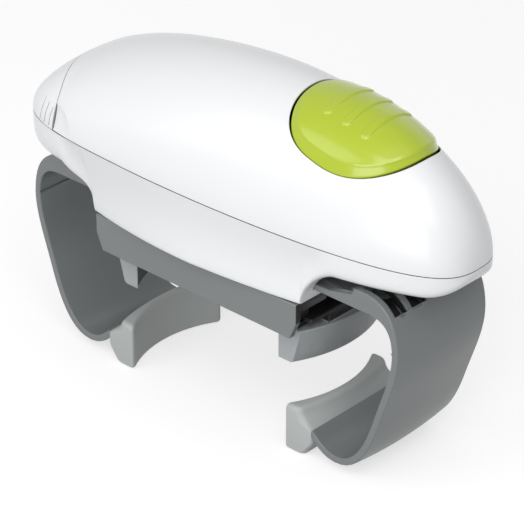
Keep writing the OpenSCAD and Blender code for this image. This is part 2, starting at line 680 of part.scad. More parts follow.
bush_flange_t = 0.5;
bush_r = 6.5;
module spindle_bush() {
    difference() {
        union() {
            translate([0, 0, boss_z + 0.2]) cylinder(r = bush_r, h = floor_t - 0.2 + eps);
            translate([0, 0, floor_z]) cylinder(r = bush_r + 2, h = bush_flange_t);
        }
        translate([0, 0, boss_z - 1]) cylinder(r = spindle_r + fit, h = 20);
    }
}
module spindle_clip() {
    translate([0, 0, train_z + train_face]) difference() {
        tube(spindle_r + 2.2, spindle_r, 0.4);
        rotate([0, 0, 60]) translate([0, -1.5, -1]) cube([20, 3, 3]);
    }
}

// ---- Plates inside the body ----
function cavity_w(x) = boss_w(x) - flank_dip - wall;
module cavity_outline(inset) {
    half_l = boss_half_l - wall - inset;
    xs = [for (k = [-6 : 6]) half_l * k / 6];
    polygon(concat([for (x = xs) [x, cavity_w(x) - inset]],
        [for (k = [len(xs) - 1 : -1 : 0]) [xs[k], inset - cavity_w(xs[k])]]));
}
post_x = 32;
post_r = 2.9;
post_y = arm_half_w + slide_gap + post_r;
chassis_screw_places = [for (x = [-post_x, post_x], y = [-post_y, post_y]) [x, y, 0]];
stand_r = 2.8;
stand_left = drive_gear_r - 1.5;
stand_right = idler_x + train_module * large_teeth / 2 + 1.8;
stand_right_y = 14;
stand_places = [[-stand_left, -stand_left, 0], [-stand_left, stand_left, 0],
    [stand_right, -stand_right_y, 0], [stand_right, stand_right_y, 0]];
stand_h = top_plate_z - deck_z;
module chassis_plate() {
    difference() {
        union() {
            translate([0, 0, deck_z - chassis_t]) linear_extrude(chassis_t) cavity_outline(0.3);
            at_each(stand_places) translate([0, 0, deck_z - eps]) cylinder(r = stand_r, h = stand_h + eps);
            translate([idler_x, 0, deck_z - eps]) cylinder(r = 3, h = 0.3 + eps);
        }
        translate([0, 0, deck_z - 5]) cylinder(r = spindle_r + fit, h = 10);
        translate([idler_x, 0, deck_z - chassis_t - 1]) cylinder(r = idler_pin_r, h = 10);
        at_each(chassis_screw_places) translate([0, 0, deck_z - 5]) cylinder(r = 1.45, h = 10);
        at_each(stand_places) translate([0, 0, top_plate_z - 7]) cylinder(r = 1.1, h = 10);
    }
}
module top_plate() {
    left = stand_left + stand_r + 0.7;
    right = stand_right + stand_r + 0.7;
    right_y = stand_right_y + stand_r + 0.7;
    difference() {
        translate([0, 0, top_plate_z]) linear_extrude(top_plate_t)
            polygon([[-left, -left], [right, -right_y], [right, right_y], [-left, left]]);
        at_each(stand_places) translate([0, 0, top_plate_z - 1]) cylinder(r = 1.45, h = 10);
        translate([idler_x, 0, top_plate_z - 1]) cylinder(r = idler_pin_r, h = 10);
        translate([motor_x, 0, top_plate_z - 1]) cylinder(r = 3.2, h = 10);
    }
}
module idler_pin() {
    translate([idler_x, 0, deck_z - chassis_t]) cylinder(r = idler_pin_r, h = top_plate_z + top_plate_t - deck_z + chassis_t);
}
gearhead_r = 13;
module gearhead() {
    translate([motor_x, 0, top_plate_z + top_plate_t]) difference() {
        union() {
            cylinder(r = gearhead_r, h = gearhead_h);
            translate([0, 0, -top_plate_t - 0.6]) cylinder(r = 3, h = top_plate_t + 1);
            translate([0, 0, big_gear_z + train_face - 3 - top_plate_z - top_plate_t])
                cylinder(r = motor_shaft_r, h = top_plate_z + top_plate_t - big_gear_z - train_face + 4);
        }
        for (z = [3 : 3 : gearhead_h - 1]) translate([0, 0, z]) tube(gearhead_r + 1, gearhead_r - 0.3, 0.4);
    }
}
module motor() {
    translate([motor_x, 0, top_plate_z + top_plate_t + gearhead_h]) {
        cylinder(r = motor_d / 2, h = motor_l - 1.5);
        translate([0, 0, motor_l - 1.5 - eps]) cylinder(r = motor_d / 2 - 1.5, h = 1);
        translate([0, 0, motor_l - 1]) cylinder(r = 3, h = 1);
    }
}

// ---- Power ----
cell_y = cell_d / 2 + 0.6;
tray_t = 1.4;
cell_z = deck_z + tray_t + cell_d / 2;
cell_left = -body_left + 5;
cell_right = cell_left + cell_l;
contact_t = 0.5;
module aa_cells() {
    for (side = [-1, 1]) translate([0, side * cell_y, cell_z]) mirror([side < 0 ? 1 : 0, 0, 0])
        translate([side < 0 ? -cell_right : cell_left, 0, 0]) rotate([0, 90, 0]) {
            translate([0, 0, 0.6]) cylinder(r = cell_d / 2, h = cell_l - 2.2);
            cylinder(r = cell_d / 2 - 1.5, h = 1);
            translate([0, 0, cell_l - 1.8]) cylinder(r = 2.7, h = 1.8);
        }
}
module battery_tray() {
    x0 = cell_left + 3;
    l = cell_right - x0 - 1;
    difference() {
        translate([x0, -2 * cell_y, deck_z]) cube([l, 4 * cell_y, 7]);
        for (side = [-1, 1]) translate([x0 - 1, side * cell_y, cell_z]) rotate([0, 90, 0])
            cylinder(r = cell_d / 2 + 0.2, h = l + 2);
        translate([x0 - 1, -cell_y, deck_z + tray_t + 3]) cube([l + 2, 2 * cell_y, 10]);
        for (side = [-1, 1]) translate([shell_screw_x, side * shell_screw_y, deck_z - 1]) cylinder(r = 5, h = 20);
    }
    // end wall that carries the fixed contacts
    translate([cell_right + 2.4 + contact_t, -2 * cell_y, deck_z]) difference() {
        cube([1.6, 4 * cell_y, cell_z + 5 - deck_z]);
        translate([-1, -1, -1]) cube([4, 1, 1]);
    }
    translate([cell_right - 2, -2 * cell_y, deck_z]) cube([5, 4 * cell_y, tray_t - 0.4]);
}
module cell_contacts() {
    for (side = [-1, 1]) {
        translate([cell_right + 2.4, side * cell_y - 5, cell_z - 5]) cube([contact_t, 10, 9.5]);
        translate([cell_left - (side < 0 ? contact_t : 1.6 + contact_t), side * cell_y - 4, cell_z - 4])
            cube([contact_t, 8, 8]);
    }
}
module cell_springs() {
    translate([cell_right + 0.15, -cell_y, cell_z]) rotate([0, 90, 0]) coil(3.4, 0.35, 2.1, 2);
    translate([cell_right + 0.15, cell_y, cell_z]) rotate([0, 90, 0]) coil(3.4, 0.35, 2.1, 2);
}

// ---- Button ----
button_mid = [button_x, 0, dome_z(button_x, 0)];
function button_point(u, v, n) = button_mid
    + [u * cos(button_tilt) + n * sin(button_tilt), v, n * cos(button_tilt) - u * sin(button_tilt)];
// Height of the dome over the button's plane, found by halving an interval
function dome_over(u, v, lo = -25, hi = 8, steps = 14) =
    let (mid = (lo + hi) / 2, p = button_point(u, v, mid))
    steps == 0 ? mid
        : p[2] > dome_z(p[0], p[1]) ? dome_over(u, v, lo, mid, steps - 1)
        : dome_over(u, v, mid, hi, steps - 1);
module in_button_frame() { translate(button_mid) rotate([0, button_tilt, 0]) children(); }
// The button's egg-shaped outline, moved out by g: blunt on the left, an ellipse on the right
function egg(a, g = 0) = cos(a) > 0
    ? [(button_right + g) * cos(a), (button_half_w + g) * sin(a)]
    : [(button_left + g) * signed_pow(cos(a), 2 / 3), (button_half_w + g) * signed_pow(sin(a), 2 / 3)];
module egg_outline(g = 0) {
    polygon([for (a = [0 : 5 : 90]) egg(a, g), for (a = [94 : 4 : 178]) egg(a, g),
        for (a = [180 : 4 : 264]) egg(a, g), for (a = [270 : 5 : 355]) egg(a, g)]);
}
button_gap = 0.5;
collar_t = 1.6;
cap_t = 2.4;
cap_low = dome_over(0, button_half_w) - 7;    // lower edge of the cap's skirt
// Shares of the outline from rim to middle, and how far the rim falls at each
rim_shares = [1, 0.997, 0.985, 0.962, 0.92, 0.85, 0.7, 0.5, 0.25];
rim_falls = [2.2, 1.2, 0.62, 0.3, 0.12, 0.03, 0, 0, 0];
cap_sides = 54;
module cap_solid(inset, raise, shares, falls) {
    function ring(share, fall, top) = [for (j = [0 : cap_sides - 1])
        let (e = egg(360 * j / cap_sides, -inset) * share)
        button_point(e[0], e[1], top ? dome_over(e[0], e[1]) + raise - fall : cap_low - inset)];
    loft(concat([ring(1, 0, false)], [for (k = [0 : len(shares) - 1]) ring(shares[k], falls[k], true)]),
        button_point(0, 0, cap_low - inset), button_point(0, 0, raise));
}
module button_cap() {
    difference() {
        cap_solid(0, button_proud, rim_shares, rim_falls);
        cap_solid(1.6, button_proud - cap_t, [1, 0.8, 0.5, 0.25], [0.8, 0, 0, 0]);
        // socket for the stem
        in_button_frame() translate([0, 0, -2]) cylinder(r = stem_r + 0.02, h = stem_top + 2);
    }
}
stem_r = 2;
stem_top = button_proud - cap_t + 1;
board_n = -30;           // depth of the circuit board under the button's widest place
board_t = 1.6;
board_left = 9;          // reach of the board from the button's stem
board_right = 25;
board_half_w = 13;
switch_h = 7;
switch_top = board_n + board_t + switch_h;
collar_n = switch_top + button_travel + 8;    // the stem's collar over its spring
module button_stem() {
    in_button_frame() rotate_extrude() polygon([[0, switch_top + button_travel + 0.3],
        [stem_r, switch_top + button_travel + 0.3], [stem_r, collar_n], [stem_r + 3, collar_n],
        [stem_r + 3, collar_n + 1.5], [stem_r, collar_n + 1.5], [stem_r, stem_top], [0, stem_top]]);
}
switch_case_h = 4;
module button_spring() {
    spring_n = board_n + board_t + switch_case_h + 0.2;
    in_button_frame() translate([0, 0, spring_n]) coil(3.4, 0.35, collar_n - 0.2 - spring_n, 5);
}
module circuit_board() {
    in_button_frame() translate([0, 0, board_n]) {
        translate([-board_left, -board_half_w, 0]) cube([board_left + board_right, 2 * board_half_w, board_t]);
        translate([board_right - 11, board_half_w - 10, board_t - eps]) cube([4, 6, 1.8]);
        translate([board_right - 9, 6 - board_half_w, board_t - eps]) cylinder(r = 2.2, h = 4);
    }
}
module micro_switch() {
    in_button_frame() translate([0, 0, board_n + board_t]) {
        translate([-6, -6, 0]) cube([12, 12, switch_case_h]);
        cylinder(r = 1.8, h = switch_h);
    }
}
board_post_places = [for (x = [button_x + 3, button_x + 14], y = [4 - board_half_w, board_half_w - 4]) [x, y, 0]];
module board_posts() {
    difference() {
        at_each(board_post_places) translate([0, 0, deck_z - 1]) cylinder(r = 2.2, h = 30);
        in_button_frame() translate([-big / 2, -big / 2, board_n]) cube(big);
    }
}

// ---- Shells ----
cover_x = -64.5;           // where the cover's seam meets the shells' seam
cover_lean = 19;         // how far the cover's seam leans towards the end
shell_screw_x = -56;
shell_screw_y = arm_half_w + 1.8;
nose_screw_x = body_right - 18.5;
nose_screw_y = 11;
shell_screw_places = [[shell_screw_x, -shell_screw_y, 0], [shell_screw_x, shell_screw_y, 0],
    [nose_screw_x, -nose_screw_y, 0], [nose_screw_x, nose_screw_y, 0]];
shell_post_top = seam_z - 5;
// Everything on the battery side of the cover's seam, moved along by shift
module battery_side(shift = 0) {
    translate([cover_x + shift, 0, seam_at(cover_x)]) rotate([0, -cover_lean, 0])
        translate([-big, -big / 2, -big / 2]) cube(big);
}
module above_seam() {
    translate([0, 0, seam_z + seam_gap / 2]) rotate([0, atan(seam_fall), 0])
        translate([-big / 2, -big / 2, 0]) cube(big);
}
module upper_walls() {
    intersection() {
        difference() {
            dome_solid();
            dome_solid(wall, 1);
        }
        above_seam();
    }
}
module button_opening() {
    in_button_frame() translate([0, 0, -60]) linear_extrude(80) egg_outline(button_gap);
}
module upper_shell() {
    difference() {
        union() {
            upper_walls();
            // collar that guides the button
            intersection() {
                dome_solid(wall / 2);
                in_button_frame() translate([0, 0, cap_low + 1]) linear_extrude(40)
                    egg_outline(button_gap + collar_t);
            }
            // bosses for the shell screws
            intersection() {
                dome_solid(wall / 2);
                at_each(shell_screw_places) translate([0, 0, shell_post_top + 0.1]) cylinder(r = 3.2, h = 60);
            }
        }
        battery_side();
        button_opening();
        at_each(shell_screw_places) translate([0, 0, shell_post_top - 1]) cylinder(r = 1.25, h = 13);
    }
}
module battery_cover() {
    intersection() {
        union() {
            upper_walls();
            intersection() {
                dome_solid(-0.5);
                both_sides() for (k = [0 : 2]) translate([-79.5 + 3 * k, 26, seam_at(-78) + 2.5])
                    rotate([0, -12, 20]) cube([0.9, 12, 11 - k]);
                above_seam();
            }
        }
        battery_side(-groove);
    }
}
module lower_shell() {
    difference() {
        union() {
            difference() {
                lower_solid();
                lower_hollow();
                // the deep well inside the boss
                translate([0, 0, floor_z]) linear_extrude(deck_z - floor_z + eps) cavity_outline(0);
            }
            intersection() {
                lower_solid();
                union() {
                    at_each(chassis_screw_places) translate([0, 0, floor_z - 1])
                        cylinder(r = post_r, h = deck_z - chassis_t - floor_z + 1);
                    at_each(shell_screw_places) translate([0, 0, wing_z + 0.5])
                        cylinder(r = 3.6, h = shell_post_top - wing_z - 0.5);
                }
            }
            board_posts();
            // runners under the arms' plates
            both_sides() translate([-boss_half_l + wall, arm_half_w - 6, floor_z - 1])
                cube([2 * (boss_half_l - wall), 2, rail_h + 1]);
        }
        // mouths for the arms at both ends of the boss
        translate([-boss_half_l - fillet_r - 12, -arm_half_w - 0.4, floor_z + rail_h])
            cube([fillet_r + 14 + wall + 1, 2 * arm_half_w + 0.8, arm_top + 0.8 - floor_z - rail_h]);
        translate([boss_half_l - wall - 3, -arm_half_w - 0.4, floor_z + rail_h])
            cube([fillet_r + 14 + wall + 1, 2 * arm_half_w + 0.8, arm_top + 0.8 - floor_z - rail_h]);
        translate([0, 0, boss_z - 1]) cylinder(r = bush_r, h = floor_t + 2);
        at_each(chassis_screw_places) translate([0, 0, deck_z - chassis_t - 7]) cylinder(r = 1.1, h = 10);
        at_each(chassis_screw_places) translate([0, 0, deck_z - eps]) cylinder(r = 2.5, h = 2.5);
        at_each(shell_screw_places) translate([0, 0, wing_z - 1]) cylinder(r = 1.6, h = 30);
        at_each(shell_screw_places) translate([0, 0, wing_z - 1]) cylinder(r = 3, h = 2.8);
        below_seam_cut();
    }
}
module below_seam_cut() {
    translate([0, 0, seam_z - seam_gap / 2]) rotate([0, atan(seam_fall), 0])
        translate([-big / 2, -big / 2, 0]) cube(big);
}
module shell_screws() {
    at_each(shell_screw_places) translate([0, 0, wing_z + 1.8]) screw(1.2, shell_post_top - wing_z + 8, 2.7, 1.4);
}
module chassis_screws() {
    at_each(chassis_screw_places) translate([0, 0, deck_z]) mirror([0, 0, 1]) screw(1.05, 8, 2.2, 1.2);
}
module top_plate_screws() {
    at_each(stand_places) translate([0, 0, top_plate_z + top_plate_t]) mirror([0, 0, 1])
        screw(1.05, 7, 2.4, 1.2);
}

color("white") upper_shell();
color("white") lower_shell();
color("white") battery_cover();
color("yellowgreen") button_cap();
color("ivory") button_stem();
color("silver") button_spring();
color("gray") right_arm();
color("gray") left_arm();
color("darkgray") jar_pad();  // right_jar_pad
color("darkgray") other_arm() jar_pad();  // left_jar_pad
color("dimgray") arm_rack();  // right_arm_rack
color("dimgray") other_arm() arm_rack();  // left_arm_rack
color("silver") rack_screws();  // right_rack_screws
color("silver") other_arm() rack_screws();  // left_rack_screws
color("ivory") jar_pinion();
color("gray") carriage_frame();
color("gray") carriage_cover();
color("silver") carriage_screws();
color("silver") spindle();
color("ivory") drive_gear();
color("silver") spindle_clip();
color("ivory") lid_pinion();
color("darkgray") lid_jaw();  // right_lid_jaw
color("darkgray") other_arm() lid_jaw();  // left_lid_jaw
color("dimgray") lid_liner();  // right_lid_liner
color("dimgray") other_arm() lid_liner();  // left_lid_liner
color("ivory") idler_gear();
color("gold") motor_pinion();
color("slategray") chassis_plate();
color("slategray") top_plate();
color("silver") idler_pin();
color("gold") spindle_bush();
color("silver") gearhead();
color("silver") motor();
color("steelblue") aa_cells();
color("slategray") battery_tray();
color("silver") cell_contacts();
color("silver") cell_springs();
color("green") circuit_board();
color("black") micro_switch();
color("silver") shell_screws();
color("silver") chassis_screws();
color("silver") top_plate_screws();
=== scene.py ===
# %% [markdown]
# # An electric jar opener
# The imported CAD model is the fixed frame: every piece below is made in metres in
# the same place, and moves with one of its bodies. The CAD gives the mechanism;
# here the moulded skins get their soft curves, edges and finishes.

# %% Load the frame
import json
import math
import bmesh
import bpy
import numpy as np
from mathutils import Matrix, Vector


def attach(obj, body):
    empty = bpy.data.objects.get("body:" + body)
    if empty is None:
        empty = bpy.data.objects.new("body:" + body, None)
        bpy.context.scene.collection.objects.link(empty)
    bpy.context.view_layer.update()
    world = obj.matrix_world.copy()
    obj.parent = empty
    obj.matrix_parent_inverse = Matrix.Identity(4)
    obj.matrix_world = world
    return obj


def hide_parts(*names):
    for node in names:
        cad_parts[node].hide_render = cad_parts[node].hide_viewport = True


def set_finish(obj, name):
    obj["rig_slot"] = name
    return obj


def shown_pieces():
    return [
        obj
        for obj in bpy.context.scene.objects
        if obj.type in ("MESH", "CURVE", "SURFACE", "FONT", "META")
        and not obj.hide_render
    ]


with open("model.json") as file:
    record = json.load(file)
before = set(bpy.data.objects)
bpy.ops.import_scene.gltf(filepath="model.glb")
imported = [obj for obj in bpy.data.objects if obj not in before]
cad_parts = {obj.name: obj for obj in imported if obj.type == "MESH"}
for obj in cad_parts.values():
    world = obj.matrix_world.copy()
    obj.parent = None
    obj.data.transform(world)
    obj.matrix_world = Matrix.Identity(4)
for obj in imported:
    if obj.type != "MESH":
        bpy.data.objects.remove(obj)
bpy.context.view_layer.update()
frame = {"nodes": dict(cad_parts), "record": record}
nodes = frame["nodes"]
MM = 0.001

# %% [markdown]
# ## From arrays to meshes
# A surface here is a grid of points: rows follow one direction of the shape and
# columns the other. The helper turns such a grid into quads in one step. A column
# ring may close on itself, and so may the rows, which gives a closed shell.

# %% Grid to mesh
def grid_faces(rows, cols, close_rows=False, close_cols=False, start=0):
    """Quads between neighbours of a rows x cols grid, as an array of four indices each."""
    r = np.arange(rows if close_rows else rows - 1)[:, None]
    c = np.arange(cols if close_cols else cols - 1)[None, :]
    r2, c2 = (r + 1) % rows, (c + 1) % cols
    quads = np.stack([r * cols + c, r * cols + c2, r2 * cols + c2, r2 * cols + c], -1)
    return quads.reshape(-1, 4) + start


def end_fans(rows, cols):
    """Triangles that close both ends of a grid of rings onto the two points that follow it."""
    ring, base = np.arange(cols), (rows - 1) * cols
    first = np.stack([np.full(cols, rows * cols), ring, (ring + 1) % cols], -1)
    last = np.stack([np.full(cols, rows * cols + 1), base + (ring + 1) % cols, base + ring], -1)
    return [first, last]


def make_piece(name, points, faces, merge=0.0, sharp=None, crevice=None):
    """A mesh object from points in millimetres and index arrays. Doubles closer than merge mm are joined.

    crevice holds one number a point, the share of painted shade that darkens the colour: 1 in a joint,
    where little light comes, and 0 in the open."""
    mesh = bpy.data.meshes.new(name)
    mesh.from_pydata((np.asarray(points).reshape(-1, 3) * MM).tolist(), [],
                     [f for block in faces for f in np.asarray(block).tolist()])
    if crevice is not None:
        layer = mesh.attributes.new("crevice", "FLOAT", "POINT")
        layer.data.foreach_set("value", np.asarray(crevice, np.float32).ravel())
    obj = bpy.data.objects.new(name, mesh)
    bpy.context.scene.collection.objects.link(obj)
    tidy_mesh(obj, merge)
    smooth(obj, sharp)
    return obj


def tidy_mesh(obj, merge):
    """Joins doubles, drops faces with no area, and points all faces outwards."""
    bm = bmesh.new()
    bm.from_mesh(obj.data)
    if merge:
        bmesh.ops.remove_doubles(bm, verts=bm.verts, dist=merge * MM)
        bmesh.ops.dissolve_degenerate(bm, edges=bm.edges, dist=1e-7)
    bmesh.ops.recalc_face_normals(bm, faces=bm.faces)
    bm.to_mesh(obj.data)
    bm.free()


def smooth(obj, angle=None):
    """Smooth shading, broken at edges sharper than angle degrees."""
    obj.data.polygons.foreach_set("use_smooth", [True] * len(obj.data.polygons))
    if angle:
        obj.data.set_sharp_from_angle(angle=math.radians(angle))


# %% [markdown]
# ## The body's form
# Seen from above the body is an egg: blunt at the battery end and long towards the
# button. These are the same rules as the CAD's, with one change: where two halves of
# a rule meet, a small rounding keeps the curve from creasing, so that a highlight
# runs over the dome without a line in it.

# %% Plan, dome and seam
BODY_LEFT, BODY_RIGHT, BODY_HALF_W, WIDE_X = 88.0, 102.5, 37.0, -28.0
DOME_H, PEAK_X, WALL = 41.5, 22.0, 2.4
SEAM_Z, SEAM_FALL, SEAM_GAP = 92.2, 0.048, 0.16
WING_Z, BOSS_Z = 78.0, 65.2
PLAN_LEFT, PLAN_RIGHT, PLAN_NOSE, PLAN_SOFT = 4.0, 1.6, 2.8, 0.1
RISE_LEFT, RISE_RIGHT, RISE_SOFT = 1.5, 2.8, 0.15
ACROSS, ACROSS_MORE, ACROSS_SOFT = 1.9, 0.5, 0.06
FULL_FROM, FULL_OVER = -66.0, 18.0


def soft_power(t, p, e):
    """t to the power p, rounded off near 0 over a width e, and still 0 at 0 and 1 at 1."""
    return ((t * t + e * e) ** (p / 2) - e ** p) / ((1 + e * e) ** (p / 2) - e ** p)


def seam_at(x):
    """Height of the seam: a line that falls gently towards the button end."""
    return SEAM_Z - SEAM_FALL * x


def share(x, x0, g):
    """0 at x0, 1 at either end of the body drawn in by g."""
    left, right = BODY_LEFT - g, BODY_RIGHT - g
    return np.clip(np.where(x < x0, (x0 - x) / (left + x0), (x - x0) / (right - x0)), 0, 1)


def plan_w(x, g=0.0):
    """Half width in plan: a fourth-power curve on the left, a long taper on the right."""
    t = share(x, WIDE_X, g)
    left = np.maximum(1 - t ** PLAN_LEFT, 0) ** (1 / PLAN_LEFT)
    right = np.maximum(1 - soft_power(t, PLAN_RIGHT, PLAN_SOFT), 0) ** (1 / PLAN_NOSE)
    return (BODY_HALF_W - g) * np.where(x < WIDE_X, left, right)


def dome_rise(x, g=0.0):
    """Height of the dome over the seam along its middle line."""
    t = share(x, PEAK_X, g)
    fall = np.where(x < PEAK_X, soft_power(t, RISE_LEFT, RISE_SOFT), t ** RISE_RIGHT)
    return (DOME_H - g) * np.sqrt(np.maximum(1 - fall, 0))


def across(x):
    """The superellipse's power across the body: a little fuller at the battery end."""
    return ACROSS + ACROSS_MORE * np.clip((FULL_FROM - x) / FULL_OVER, 0, 1)


def dome_z(x, y, g=0.0):
    """Height of the dome: across the body it is a superellipse over the seam."""
    w = np.maximum(plan_w(x, g), 1e-6)
    t = np.clip(np.abs(y) / w, 0, 1)
    p = across(x)
    return seam_at(x) + dome_rise(x, g) * np.maximum(1 - soft_power(t, p, ACROSS_SOFT), 0) ** (1 / p)


print("dome top", round(float(dome_z(np.array(PEAK_X), np.array(0.0))), 2), "mm")

# %% [markdown]
# ## Curves on the body
# The skins are bounded by a few lines: the egg-shaped mouth for the button, the seam
# all round, and the seam of the battery cover, which arches over the dome. Each is
# made as a row of points evenly spaced along its length.

# %% Lines that bound the skins
def along(points, n):
    """n points evenly spaced along a line of points, both ends kept."""
    points = np.asarray(points, float)
    run = np.r_[0, np.cumsum(np.linalg.norm(np.diff(points, axis=0), axis=1))]
    s = np.linspace(0, run[-1], n)
    return np.stack([np.interp(s, run, points[:, k]) for k in range(points.shape[1])], -1)


BUTTON_X, TILT = 52.0, math.radians(14)
BUTTON_LEFT, BUTTON_RIGHT, BUTTON_HALF_W = 21.2, 28.0, 21.8
button_mid = np.array([BUTTON_X, 0.0, float(dome_z(np.array(BUTTON_X), np.array(0.0)))])


def button_point(u, v, n):
    """A point given in the tilted frame of the button, n along the press."""
    return np.stack([button_mid[0] + u * math.cos(TILT) + n * math.sin(TILT), v + 0 * u,
                     button_mid[2] + n * math.cos(TILT) - u * math.sin(TILT)], -1)


def dome_over(u, v, g=0.0):
    """How high the dome stands over the button's plane, by halving an interval."""
    lo, hi = np.full(np.shape(u), -40.0), np.full(np.shape(u), 10.0)
    for _ in range(40):
        mid = (lo + hi) / 2
        p = button_point(u, v, mid)
        over = p[..., 2] > dome_z(p[..., 0], p[..., 1], g)
        hi, lo = np.where(over, mid, hi), np.where(over, lo, mid)
    return (lo + hi) / 2


def signed_power(v, p):
    """The size of v to the power p, with the sign of v."""
    return np.sign(v) * np.abs(v) ** p


EGG_RIGHT, EGG_LEFT = 0.9, 0.76


def egg(n, g=0.0, g_side=None):
    """The button's outline as n points from its right tip round, moved out by g, at its sides by g_side."""
    g_side = g if g_side is None else g_side
    a = np.linspace(0, math.pi, 721)
    c, s = np.cos(a), np.maximum(np.sin(a), 0)
    right = c > 0
    u = np.where(right, (BUTTON_RIGHT + g) * signed_power(c, EGG_RIGHT),
                 (BUTTON_LEFT + g) * signed_power(c, EGG_LEFT))
    v = (BUTTON_HALF_W + g_side) * np.where(right, s ** EGG_RIGHT, s ** EGG_LEFT)
    half = along(np.stack([u, v], -1), n // 2 + 1)
    back = half[1:-1][::-1] * [1, -1]
    return np.concatenate([half, back])


COVER_X, COVER_ARC, ARC_POWER = -63.9, 12.5, 1.6


def cover_x(y, side_w):
    """The cover's seam in plan: straight across the flanks, then an arc towards the end in the middle."""
    return COVER_X - COVER_ARC * np.maximum(1 - (y / side_w) ** 2, 0) ** ARC_POWER


def cover_line(x_side, g=0.0, count=400):
    """The cover's seam on the dome drawn in by g, from the place x_side on its flank to the middle line."""
    side_w = float(plan_w(np.array(x_side), g))
    y = side_w * np.sin(np.linspace(math.pi / 2, 0, count))
    x = cover_x(y, side_w) + x_side - COVER_X
    return np.stack([x, y, dome_z(x, y, g)], -1)


def seam_line(x_from, x_to, g=0.0, count=1200):
    """The seam's outline on the +Y side between two places along the body, drawn in by g."""
    a = np.linspace(0, 1, count)
    run = x_to - x_from
    x = np.where(a < 0.5, x_from + run * 2 * a * a, x_to - run * 2 * (1 - a) ** 2)
    return np.stack([x, plan_w(x, g), seam_at(x)], -1)


print("button's middle", button_mid.round(2))

# %% [markdown]
# ## The upper shell
# The real one is a moulding about 2.4 mm thick. It could be cut from a solid, but a
# cut leaves a knife edge. Instead one sheet of points runs from the button's mouth out
# to the seam, rolls over a small lip, and comes back inside, so that the shell is
# closed, and each edge has a rounding that catches the light.

# %% Make the upper shell
def roll(edge, before, after, r, steps=5):
    """A rounded edge: a curve from r before the sharp corner to r after it, pulled to the corner."""
    def step(to):
        """The point r from the edge on the way to another."""
        d = to - edge
        return edge + r * d / np.maximum(np.linalg.norm(d, axis=-1, keepdims=True), 1e-9)
    a, b = step(before), step(after)
    t = np.linspace(0, 1, steps)[:, None, None]
    return (1 - t) ** 2 * a + 2 * t * (1 - t) * edge + t * t * b


def mirror_loop(half):
    """A closed loop from the half on the +Y side, which starts and ends on the middle line."""
    return np.concatenate([half, half[1:-1][::-1] * [1, -1, 1]])


RING = 400
SEAM_PART = 150


def shell_border(g):
    """The upper shell's border: round the nose, along the seam, and over the dome at the cover."""
    seam = along(seam_line(BODY_RIGHT - g, COVER_X, g), SEAM_PART)
    arch = along(cover_line(COVER_X, g), RING // 2 + 2 - SEAM_PART)
    return mirror_loop(np.concatenate([seam, arch[1:]]))


def dome_sheet(inner, border, rows, g, lift):
    """Points between two loops, closer together towards the border, set on the dome in height."""
    f = 1 - (1 - np.linspace(0, 1, rows)) ** 2
    xy = inner[None, :, :2] + f[:, None, None] * (border - inner)[None, :, :2]
    z = np.maximum(dome_z(xy[..., 0], xy[..., 1], g), seam_at(xy[..., 0]) + lift)
    return np.concatenate([xy, z[..., None]], -1)


MOUTH_GAP, SIDE_GAP, COLLAR = 0.95, 0.3, 1.6
COLLAR_DEPTH, MOUTH_DEPTH, MOUTH_ROLL = 6.0, 1.4, 0.6


def mouth(wider, g_in=0.0, down=0.0, depth=None):
    """The button's mouth as a loop, widened: down mm under the dome drawn in by g_in, or at one depth."""
    uv = egg(RING, MOUTH_GAP + wider, SIDE_GAP + wider)
    n = dome_over(uv[:, 0], uv[:, 1], g_in) - down if depth is None else np.full(RING, depth)
    return button_point(uv[:, 0], uv[:, 1], n)


lift = SEAM_GAP / 2
outer = dome_sheet(mouth(0), shell_border(0), 110, 0, lift)
inner = dome_sheet(mouth(COLLAR, WALL), shell_border(WALL), 50, WALL, lift)
side_n = float(dome_over(np.array(0.0), np.array(BUTTON_HALF_W)))
collar_low = side_n - COLLAR_DEPTH
collar_in, collar_out = mouth(0, depth=collar_low), mouth(COLLAR, depth=collar_low)
collar_top = mouth(0, down=MOUTH_DEPTH)


DISH_H, DISH_W, DISH_D = 9.2, 8.8, 1.15
LIP_R = 0.18


def thumb_dish(p):
    """Draws the skin in by a leaf-shaped scoop beside the cover's seam, on both sides, for the thumb."""
    up = np.clip((p[..., 2] - seam_at(p[..., 0])) / DISH_H, 0, 1)
    edge = cover_x(p[..., 1], plan_w(np.array(COVER_X)))
    bent = (0.08 + 0.92 * up) ** 0.75
    width = DISH_W * np.sqrt(np.maximum(4 * bent * (1 - bent), 1e-4))
    out = np.clip((p[..., 0] - edge) / width, 0, 1)
    depth = DISH_D * (1 - out ** 2) ** 0.75 * (4 * up * (1 - up)) ** 0.6
    q = p.copy()
    q[..., 1] -= np.sign(p[..., 1]) * depth
    return q


outer = thumb_dish(outer)
rim = roll(outer[0], outer[1], collar_top, MOUTH_ROLL)
lip = roll(outer[-1], outer[-2], inner[-1], LIP_R)
sheet = np.concatenate([collar_in[None], collar_top[None], rim[::-1], outer[1:-1], lip, inner[::-1],
                        collar_out[None]])
# Painted shade: the colour is darkened down the mouth's collar and round the lip into the seam, where the
# shells meet.
shade_amount = np.concatenate([[1, 1, 0.5, 0, 0, 0, 0], np.zeros(len(outer) - 2),
                       [0, 0.5, 1, 1, 1, 1], np.zeros(len(inner))])
upper = make_piece("upper_skin", sheet, [grid_faces(len(sheet), RING, True, True)], 0.002, 40,
                   np.repeat(shade_amount, RING))
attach(upper, "housing")
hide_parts("upper_shell")
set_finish(upper, "shell_white")
print("upper skin:", len(upper.data.polygons), "faces")

# %% [markdown]
# ## The battery cover
# The left end of the dome slides off over the cells. It is the same dome between its
# arched seam and the outline of the end, so a second sheet is stretched between
# these two lines, with three fine grip ridges on each side.

# %% Make the battery cover
def full_arch(half):
    """From a half line that ends on the middle, the whole line from -Y to +Y."""
    return np.concatenate([half * [1, -1, 1], half[:-1][::-1]])


COVER_GAP, CORNER_SHARE = 0.25, 0.3
COLS = 181


